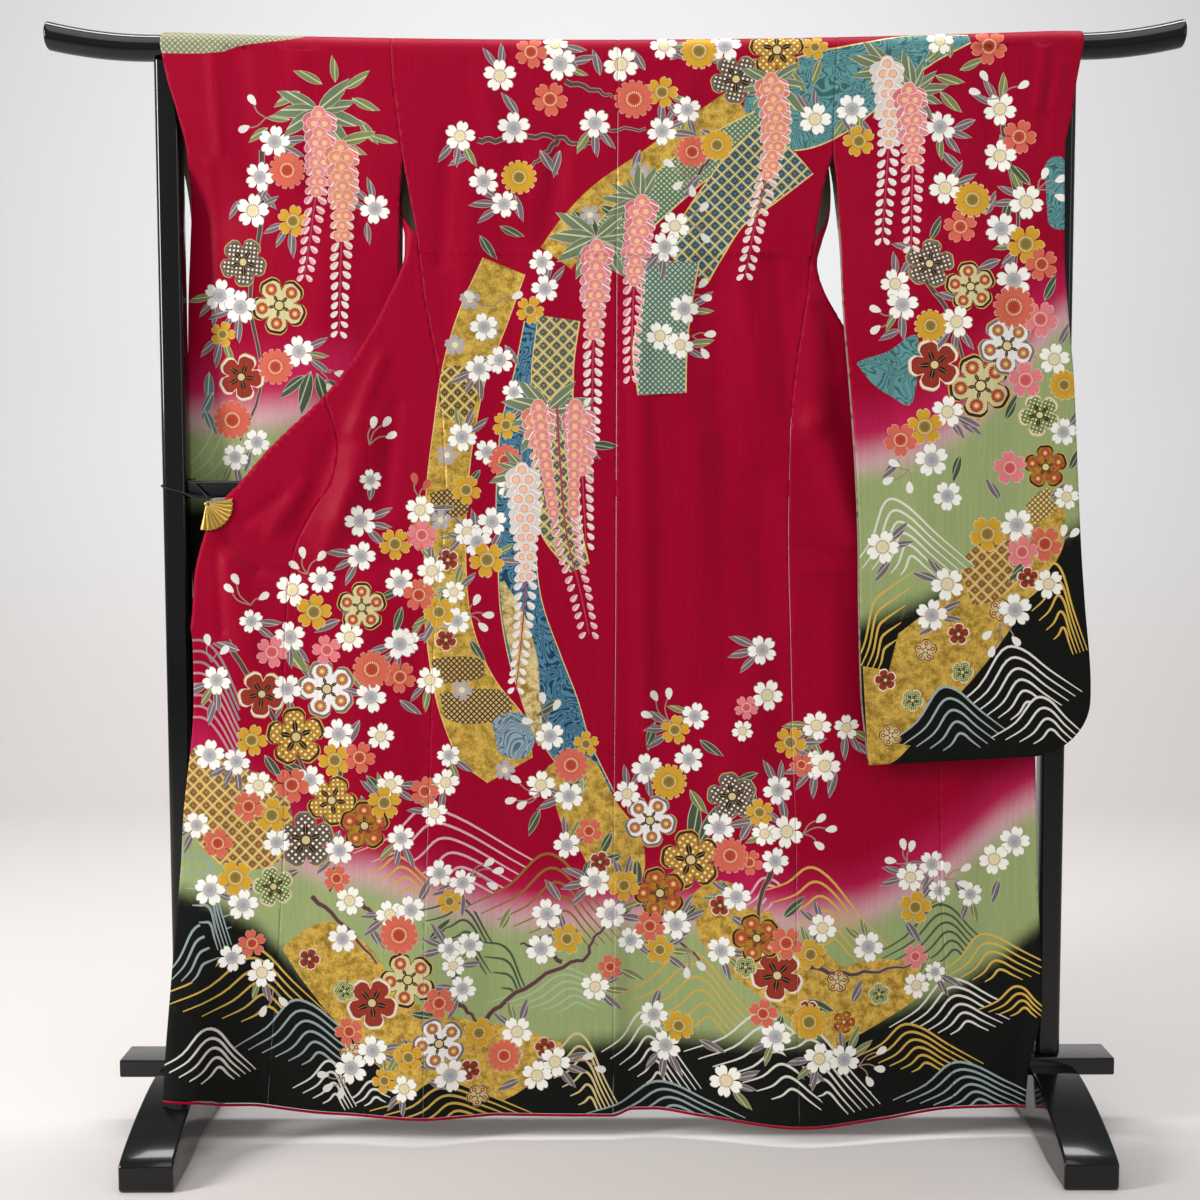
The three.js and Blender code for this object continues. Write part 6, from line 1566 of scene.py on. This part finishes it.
def hang_panel(name, where, outline, shape, lattice, prints, thickness=CLOTH):
    """Hangs a cut panel: its face and its lining lie half the thickness to either side of the
    surface shape(u, v), along the surface's own normal, and the rim joins them. Seams are drawn
    in: the border sits half a millimetre back, and its normals lean outward."""
    along = np.roll(outline, -1, 0) - np.roll(outline, 1, 0)
    along /= np.linalg.norm(along, axis=1)[:, None]
    facing = 1 if twice_area(outline) > 0 else -1
    margin = outline + facing * SEAM_MARGIN * np.column_stack([-along[:, 1], along[:, 0]])
    lattice = np.concatenate([lattice, margin])
    face, tri, topmost, inside = cut_panel(outline, prints, lattice)
    count = len(face)
    edges = np.concatenate([tri[:, [0, 1]], tri[:, [1, 2]], tri[:, [2, 0]]])
    rim = edges[~np.isin(edges[:, 0] * count + edges[:, 1], edges[:, 1] * count + edges[:, 0])]
    border, rim_edges = np.unique(rim, return_inverse=True)
    rim_edges = rim_edges.reshape(-1, 2)
    following = np.zeros(len(border), int)
    following[rim_edges[:, 0]] = rim_edges[:, 1]
    lining, lining_tri, place = plain_panel(face[border], following, lattice)
    flat = np.concatenate([face, lining])
    u, v = flat.T
    step = 0.2

    def at(u, v):
        return sagged(shape(u, v))
    middle = at(u, v)
    normal = np.cross(at(u + step, v) - at(u - step, v), at(u, v + step) - at(u, v - step))
    normal /= np.linalg.norm(normal, axis=1)[:, None]
    a, b = rim.T
    far_a, far_b = place[rim_edges].T + count
    away = np.zeros_like(middle)
    outward = np.cross(middle[b] - middle[a], normal[a])
    for ends in (a, b, far_a, far_b):
        np.add.at(away, ends, outward)
    length = np.linalg.norm(away, axis=1)[:, None]
    away /= np.maximum(length, 1e-9)
    side = np.where(np.arange(len(flat)) < count, 1, -1)[:, None]
    points = (middle + normal * (side * thickness / 2 - SEAM_DIP * (length > 1e-9))) * MM
    faces = np.concatenate([tri, lining_tri[:, ::-1] + count, np.column_stack([a, far_a, far_b]),
                            np.column_stack([a, far_b, b])])
    mesh = bpy.data.meshes.new(name)
    mesh.from_pydata(points.tolist(), [], faces.tolist())
    paint = np.array([0] + [p["paint"] for p in inside])
    others = np.full(len(faces) - len(tri), PAINTS.index("crepe"))
    others[:len(lining_tri)] = PAINTS.index("lining")
    mesh.polygons.foreach_set("material_index", np.concatenate([paint[topmost], others]))
    mesh.polygons.foreach_set("use_smooth", np.ones(len(faces), bool))
    owner = np.concatenate([topmost, np.zeros(len(others), int)])
    frames = np.array([(0, 0, 1, 0, 0.001)] + [p["frame"] for p in inside])[owner][:, None, :]
    offset = flat[faces] - frames[..., 0:2]
    cos, sin, scale = frames[..., 2], frames[..., 3], frames[..., 4]
    local = np.stack([offset[..., 0] * cos + offset[..., 1] * sin,
                      offset[..., 1] * cos - offset[..., 0] * sin], -1)
    layer = mesh.uv_layers.new(name="print")
    layer.data.foreach_set("uv", (local * scale[..., None]).ravel())
    ground = ground_dye(where, u, v)[faces]
    dyes = np.array([(0, 0, 0)] + [p["dye"] for p in inside])[owner][:, None, :]
    hearts = np.array([(0, 0, 0)] + [p["heart"] for p in inside])[owner][:, None, :]
    plain = np.array([True] + [p["ground"] for p in inside])[owner][:, None, None]
    for title, colours in (("dye", np.where(plain, ground, dyes)),
                           ("heart", np.where(plain, ground, hearts))):
        colours = np.broadcast_to(colours, (len(faces), 3, 3)).reshape(-1, 3)
        attribute = mesh.color_attributes.new(name=title, type="FLOAT_COLOR", domain="CORNER")
        attribute.data.foreach_set("color", np.column_stack([colours, np.ones(len(colours))]).ravel())
    mesh.normals_split_custom_set_from_vertices((side * normal + SEAM_LEAN * away).tolist())
    piece = place_object(name + "_silk", mesh, *SILKS)
    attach(piece, "root")
    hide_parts(name)
    return piece


def lattice_over(low, high, spacing, *bends):
    """Points over a panel: staggered rows, with close columns wherever a fold turns."""
    rows = np.arange(low[1] + spacing / 2, high[1], spacing)
    columns = np.arange(low[0] + spacing / 2, high[0], spacing)
    shift = np.where(np.arange(len(rows)) % 2, spacing / 2, 0)
    grid = np.stack(np.broadcast_arrays(columns[None, :] + shift[:, None], rows[:, None]), -1).reshape(-1, 2)
    return np.concatenate([grid, *bends])


def fold_columns(sign, spacing):
    """Close columns along a front panel's outer fold, an eighth of its half circle apart."""
    side = SIDES[sign]
    z = np.arange(30, SHOULDER, spacing)[:, None]
    radius, _, start = outer_fold(side, z, side["near"](z))
    s = np.linspace(0, 1, 9)[None, :] * math.pi * radius - start
    return np.column_stack([(sign * (side["edge"](z) + s)).ravel(), np.broadcast_to(z, s.shape).ravel()])


def panel_outline(sign, inner, outer, bottom, top, over=()):
    """A panel's outline: along the hem, up its outer side, over any further rows, and down."""
    share = np.linspace(0, 1, 60)
    span = sign * (inner(0.0) + (outer(0.0) - inner(0.0)) * share)
    hem_v = HEM["height"](span) if bottom is None else np.full(60, float(bottom))
    hem_u = sign * (inner(hem_v) + (outer(hem_v) - inner(hem_v)) * share)
    up = between(hem_v[-1], top, 150)[1:]
    down = between(hem_v[0], top, 150)[1:][::-1]
    out = [np.column_stack([hem_u, hem_v]), np.column_stack([sign * outer(up), up])]
    out += [np.asarray(row) for row in over] or [np.array([[sign * outer(top), top],
        [sign * inner(top), top]])]
    out.append(np.column_stack([sign * inner(down), down]))
    return np.concatenate(out)


LATTICE = 9.0
for sign, tail in ((-1, "left"), (1, "right")):
    side = SIDES[sign]

    # Back: from the hem up to the bar and over it, centre seam to side seam.
    def seam(z, sign=sign):
        return sign * HANG["seam"](z) + GAP / 2

    def outer(z, side=side):
        return side["side_edge"](z) - GAP / 2
    v = np.concatenate([np.linspace(BAR_HEIGHT, BAR_HEIGHT + OVER, 17),
                        [BAR_HEIGHT + OVER + 15, BAR_HEIGHT + OVER + 30]])
    z = np.where(v > BAR_HEIGHT + OVER, FAR_SIDE - v, BAR_HEIGHT)
    over = [np.column_stack([sign * outer(z), v]), np.column_stack([sign * seam(z), v])[::-1]]
    outline = panel_outline(sign, seam, outer, None, BAR_HEIGHT, over)
    low, high = outline.min(0), outline.max(0)
    round_bar = np.stack(np.meshgrid(np.arange(low[0] + 4, high[0], 12), v[1:17]), -1).reshape(-1, 2)
    at_tuck = np.stack(np.meshgrid(np.arange(low[0] + 4, high[0], 12),
                                   TUCK["back"] + np.array([-2.8, -1.3, 0.1, 2.0, 6.0])), -1)
    at_tuck[..., 1] -= 0.01 * at_tuck[..., 0]
    lattice = lattice_over(low, (high[0], BAR_HEIGHT), LATTICE, round_bar, at_tuck.reshape(-1, 2))
    back = hang_panel("back_" + tail, "body", outline, back_shape, lattice, PRINTS["body"])

    # Front: from the shoulder behind the bar to the hem, side seam to the overlap panel.
    def start(z, side=side):
        return side["edge"](z) + GAP / 2

    def okumi(z, side=side):
        return side["edge"](z) + side["okumi"](z) - GAP / 2
    outline = panel_outline(sign, start, okumi, None, SHOULDER - GAP)
    low, high = outline.min(0), outline.max(0)
    lattice = lattice_over(low, high, LATTICE, fold_columns(sign, LATTICE))
    front = hang_panel("front_" + tail, "body", outline, front_shape(sign), lattice, PRINTS["body"])

    # Overlap panel: a narrow strip on the front edge, up to the collar's upper reach.
    def strip_in(z, side=side):
        return side["edge"](z) + side["okumi"](z) + GAP / 2

    def strip_out(z, side=side):
        return side["edge"](z) + side["width"](z) - GAP / 2
    outline = panel_outline(sign, strip_in, strip_out, None, OKUMI_TOP)
    low, high = outline.min(0), outline.max(0)
    lattice = lattice_over(low, high, LATTICE, fold_columns(sign, LATTICE))
    strip = hang_panel("okumi_" + tail, "body", outline, front_shape(sign), lattice, PRINTS["body"])

    # Sleeve: folded over the bar, its motifs repeated on the hidden layer.
    where = tail + "_sleeve"
    mirrored = []
    for p in PRINTS[where]:
        far = p["outline"] * [1, -1] + [0, FAR_SIDE]
        cu, cv, cos, sin, scale = p["frame"]
        mirrored.append(dict(p, outline=far[::-1], frame=(cu, FAR_SIDE - cv, cos, -sin, scale)))
    outline = sleeve_outline(sign)
    low, high = outline.min(0), outline.max(0)
    round_bar = np.stack(np.meshgrid(np.arange(low[0] + 4, high[0], 12), v[:17]), -1).reshape(-1, 2)
    rows = np.concatenate([lattice_over(low, (high[0], BAR_HEIGHT), LATTICE),
                           lattice_over((low[0], BAR_HEIGHT + OVER), high, LATTICE), round_bar])
    sleeve = hang_panel("sleeve_" + tail, where, outline, sleeve_shape(sign), rows, PRINTS[where] + mirrored)


# ---- Collar -------------------------------------------------------------------------------------
# A folded band of the same silk, 55 mm wide, sewn along both front edges and round the neck
# behind the bar, where it turns two corners.


def collar_rows():
    """Rows across the collar: up the left edge, round the left corner, across the neck and down
    the right side, each row from its sewn edge to its free edge."""
    share = np.linspace(0, 1, 9)
    neck_top = SHOULDER - GAP
    neck_bottom = neck_top - COLLAR_WIDTH

    def on_edge(side, z, share):
        z, share = np.broadcast_arrays(z, share)
        return front_path(side, side["width"](z) + GAP / 2 + share * COLLAR_WIDTH, z)
    halves = []
    for sign in (-1, 1):
        side = SIDES[sign]
        z = np.concatenate([between(COLLAR_END + GAP, neck_bottom, 70), [neck_bottom]])[:, None]
        straight = on_edge(side, z, share[None, :])
        corner = []
        for turn in np.linspace(0.25, 1.75, 7):
            outer = on_edge(side, neck_bottom + (neck_top - neck_bottom) * min(1, turn), 0.0)
            inner = on_edge(side, neck_bottom, 1.0)
            outer[0] += (inner[0] - outer[0]) * max(0, turn - 1)
            inner = inner + [-sign * 3 * turn, 0, 3 * turn]
            corner.append(outer + (inner - outer) * share[:, None])
        halves.append(np.concatenate([straight, np.array(corner)]))
    middle = []
    for x in (-24.0, -12.0, 0.0, 12.0, 24.0):
        z = neck_top + (neck_bottom + 6 - neck_top) * share
        middle.append(np.column_stack([np.full(9, x), np.broadcast_to(SIDES[-1]["far"](z), 9), z]))
    return np.concatenate([halves[0], np.array(middle), halves[1][::-1]])


def doubled(name, grid, thickness):
    """A closed wall over a grid of middle points: each side offset along the grid's normals."""
    rows, cols = grid.shape[:2]
    normal = np.cross(np.gradient(grid, axis=1), np.gradient(grid, axis=0))
    normal /= np.linalg.norm(normal, axis=2)[..., None]
    points = np.concatenate([grid + normal * thickness / 2, grid - normal * thickness / 2]).reshape(-1, 3)
    corner, quads = grid_quads(rows, cols)
    loop = np.concatenate([corner[0], corner[1:, -1], corner[-1, -2::-1], corner[-2:0:-1, 0]])
    after = np.roll(loop, -1)
    rim = np.column_stack([loop, loop + rows * cols, after + rows * cols, after])
    faces = np.concatenate([quads, quads[:, ::-1] + rows * cols, rim])
    mesh = bpy.data.meshes.new(name)
    mesh.from_pydata((points * MM).tolist(), [], faces.tolist())
    mesh.polygons.foreach_set("use_smooth", np.ones(len(faces), bool))
    mesh.normals_split_custom_set_from_vertices(np.concatenate([normal, -normal]).reshape(-1, 3).tolist())
    return mesh


def plain_crimson():
    """The same crepe as the ground, in its plain crimson, for pieces that carry no motif; darker in the
    pebble's hollows and paler on its crests, as painted shade and painted highlight.
    """
    material, tree, shader, _, height = silk_base("plain_crimson_crepe")
    # Painted shade and highlight: the crimson runs from dark in the pebble's hollows to pale on its crests.
    tone = add(tree, "MapRange", {0: height, 1: 0.7, 2: 1.3, 3: 0.0, 4: 1.0})
    final = add(tree, "Mix", {0: tone.outputs[0], 6: rgba("#840020"), 7: rgba("#A0062C")}, data_type="RGBA")
    tree.links.new(final.outputs[2], shader.inputs["Base Color"])
    return material


CRIMSON_SILK = plain_crimson()
collar = rigid("collar", doubled("collar", sagged(collar_rows()), CLOTH), CRIMSON_SILK)


# ---- Hem roll -------------------------------------------------------------------------------------
# The lining's red edge, rolled out 4 mm below the hem over a thin wadding, from one front edge to
# the other.

HEM_ROLL_HEIGHT, HEM_ROLL_THICKNESS = 4.0, 3.0


def hem_line():
    """The hem's lowest line: each front from its free edge to its side seam, and the back between."""
    parts = []
    for sign in (-1, 1):
        side = SIDES[sign]
        share = np.linspace(0, 1, 90)
        s = side["width"](0.0) * share
        z = HEM["height"](sign * (side["edge"](0.0) + s))
        front = front_path(side, side["width"](z) * share, z)[::-1]
        u = sign * (side["side_edge"](0.0) - (side["side_edge"](0.0) - sign * HANG["seam"](0.0))
                    * np.linspace(0, 1, 60))[1:]
        back = back_shape(u, HEM["height"](u))
        parts.append(np.concatenate([front, back]))
    return np.concatenate([parts[0], parts[1][-2::-1]])


line = hem_line()
along = np.gradient(line, axis=0) * [1, 1, 0]
along /= np.linalg.norm(along, axis=1)[:, None]
forward = np.stack([along[:, 1], -along[:, 0], np.zeros(len(along))], -1)
angle = np.linspace(0, 2 * math.pi, 10, endpoint=False)
centre = line - [0, 0, GAP + HEM_ROLL_HEIGHT / 2 + 0.5]
roll = (centre[:, None] + forward[:, None] * (np.cos(angle) * HEM_ROLL_THICKNESS / 2)[None, :, None]
        + np.array([0, 0, 1.0]) * (np.sin(angle) * HEM_ROLL_HEIGHT / 2)[None, :, None])
hem_roll = rigid("hem_roll", loft_mesh("hem_roll", roll), CRIMSON_SILK)


# ---- Clip and cord ----------------------------------------------------------------------------------
# A small sprung clip holds the left front edge out. Its front is a pleated fan of gilt brass, its
# rear jaw a plain steel plate, joined by a rivet, and a black cord ties it round the post.

CLIP_X, RIVET_RADIUS = -617, 3
FAN_INNER, FAN_OUTER, FAN_FROM, FAN_TO, PLEATS, PLEAT_DEPTH, FAN_THICKNESS = 5, 40, -104, 12, 10, 1.4, 1.6
JAW_THICKNESS, CORD_RADIUS = 1.6, 1.2


def gilt_brass():
    """Stamped brass with a bright gilt finish: a warm metal, softly brushed, its tone varying at random."""
    material, tree, shader = new_material("gilt_brass")
    place = add(tree, "TexCoord").outputs["Object"]
    rub = add(tree, "TexNoise", {"Vector": place, "Scale": 900.0, "Detail": 3.0})
    tone = add(tree, "Mix", {0: rub.outputs[0], 6: rgba("#B98A2C"), 7: rgba("#F0D27A")}, data_type="RGBA")
    rough = add(tree, "MapRange", {0: rub.outputs[0], 3: 0.2, 4: 0.4})
    tree.links.new(tone.outputs[2], shader.inputs["Base Color"])
    tree.links.new(rough.outputs[0], shader.inputs["Roughness"])
    shader.inputs["Metallic"].default_value = 1.0
    return material


def steel_plate():
    """Sheet steel with a satin zinc face, lightly clouded."""
    material, tree, shader = new_material("satin_steel")
    place = add(tree, "TexCoord").outputs["Object"]
    cloud = add(tree, "TexNoise", {"Vector": place, "Scale": 300.0, "Detail": 3.0})
    tone = add(tree, "Mix", {0: cloud.outputs[0], 6: rgba("#A9A9A4"), 7: rgba("#CFCFCA")}, data_type="RGBA")
    tree.links.new(tone.outputs[2], shader.inputs["Base Color"])
    shader.inputs["Metallic"].default_value = 1.0
    shader.inputs["Roughness"].default_value = 0.38
    return material


def braided_cord():
    """Black braided cotton: a fine slanting rib a millimetre apart."""
    material, tree, shader = new_material("braided_cord")
    place = add(tree, "TexCoord").outputs["Object"]
    rib = add(tree, "TexWave", {"Vector": place, "Scale": 330.0, "Distortion": 0.5},
              bands_direction="DIAGONAL")
    tone = add(tree, "Mix", {0: rib.outputs[1], 6: rgba("#08080A"), 7: rgba("#1C1C20")}, data_type="RGBA")
    bump = add(tree, "Bump", {"Strength": 0.5, "Distance": 0.0004, "Height": rib.outputs[1]})
    tree.links.new(tone.outputs[2], shader.inputs["Base Color"])
    tree.links.new(bump.outputs[0], shader.inputs["Normal"])
    shader.inputs["Roughness"].default_value = 0.7
    return material


GILT = gilt_brass()
left_side = SIDES[-1]

# Fan: pleats as a rounded zigzag in the angle, growing outward, with a scalloped outer edge.
face = left_side["near"](float(CLIP_HEIGHT)) - CLOTH / 2 - GAP - FAN_THICKNESS / 2 - PLEAT_DEPTH
turn = np.linspace(0, 1, 10 * PLEATS + 1)[:, None]
reach = np.linspace(0, 1, 9)[None, :]
fold = np.sin(np.sin(turn * PLEATS * 2 * math.pi + math.pi / 2) * 1.2) / math.sin(1.2)
radius = FAN_INNER + (FAN_OUTER - 1.2 + 1.2 * np.abs(np.cos(turn * PLEATS * math.pi)) - FAN_INNER) * reach
angle = np.radians(FAN_FROM + (FAN_TO - FAN_FROM) * turn) + 0 * reach
fan = np.stack([CLIP_X + radius * np.cos(angle), face + fold * PLEAT_DEPTH * radius / FAN_OUTER,
                CLIP_HEIGHT + radius * np.sin(angle)], -1)
rigid("clip_fan", doubled("clip_fan", fan[::-1], FAN_THICKNESS), GILT)

# Jaw: a flat plate with rounded corners and eased edges, against the back of the folded cloth.
jaw_front = left_side["far"](float(CLIP_HEIGHT)) + CLOTH / 2 + GAP
corners = np.array([(-5, -8), (34, -6), (38, 10), (8, 9), (-5, 3)], float)
edge = rounded_line(np.concatenate([corners, corners[:1]]), 1)[:-1]
t = between(0, 1, 10)[:, None]
edge = np.concatenate([a + (b - a) * t for a, b in zip(edge, np.roll(edge, -1, 0))])
depth = np.array([0, 0.3, JAW_THICKNESS - 0.3, JAW_THICKNESS])
ease = np.array([0.97, 1, 1, 0.97])
middle = edge.mean(0)
plate = np.stack(np.broadcast_arrays(
    CLIP_X + middle[0] + (edge[:, 0] - middle[0]) * ease[:, None], jaw_front + depth[:, None],
    CLIP_HEIGHT + middle[1] + (edge[:, 1] - middle[1]) * ease[:, None]), -1)
rigid("clip_jaw", loft_mesh("clip_jaw", plate), steel_plate())

# Rivet: a pin with a domed head, turned about the Y axis.
front_y = left_side["near"](float(CLIP_HEIGHT)) - 7
along_y = np.array([front_y, front_y + 0.5, front_y + 1.4, front_y + 2.0, front_y + 2.4, jaw_front - GAP])
pin = np.array([1.2, 2.4, 3.0, 3.0, 2.9, 2.9]) * RIVET_RADIUS / 3
angle = np.linspace(0, 2 * math.pi, 28, endpoint=False)
rings = np.stack(np.broadcast_arrays(CLIP_X + pin[:, None] * np.cos(angle), along_y[:, None],
                                     CLIP_HEIGHT + pin[:, None] * np.sin(angle)), -1)
rigid("clip_rivet", loft_mesh("clip_rivet", rings), GILT)

# Cord: from the rivet over the middle rail, round the post and back. It is held all the way.
clear = CORD_RADIUS + GAP + 0.3
post_face = POST_SIZE / 2 + clear
rail_face = MID_RAIL["depth"] / 2 + clear
route = np.array([
    (CLIP_X + 1, -24, CLIP_HEIGHT + RIVET_RADIUS + clear), (CLIP_X - 6, -rail_face - 1, 986),
    (CLIP_X - 22, -rail_face - 0.6, 1003), (CLIP_X - 25, -8, MID_RAIL["top"] + clear + 0.6),
    (CLIP_X - 27, 10, MID_RAIL["top"] + clear + 0.8), (-POST_AT + 13, post_face + 0.2, 1009),
    (-POST_AT, post_face + 0.2, 1007), (-POST_AT - 13, post_face - 0.4, 1005),
    (-POST_AT - post_face + 0.4, 13, 1003), (-POST_AT - post_face - 0.2, 0, 1001),
    (-POST_AT - post_face + 0.4, -13, 999), (-POST_AT - 13, -post_face + 0.4, 997),
    (-POST_AT, -post_face - 0.2, 993), (-POST_AT + 15, -post_face - 0.4, 989),
    (CLIP_X - RIVET_RADIUS - clear, -24, CLIP_HEIGHT + 1)])


line = rounded_line(route, 8)
along = np.gradient(line, axis=0)
along /= np.linalg.norm(along, axis=1)[:, None]
beside = np.cross(along, [0.05, 0.1, 1.0])
beside /= np.linalg.norm(beside, axis=1)[:, None]
over = np.cross(beside, along)
angle = np.linspace(0, 2 * math.pi, 10, endpoint=False)
ring = (line[:, None] + beside[:, None] * (CORD_RADIUS * np.cos(angle))[None, :, None]
        + over[:, None] * (CORD_RADIUS * np.sin(angle))[None, :, None])
rigid("clip_cord", loft_mesh("clip_cord", ring), braided_cord())
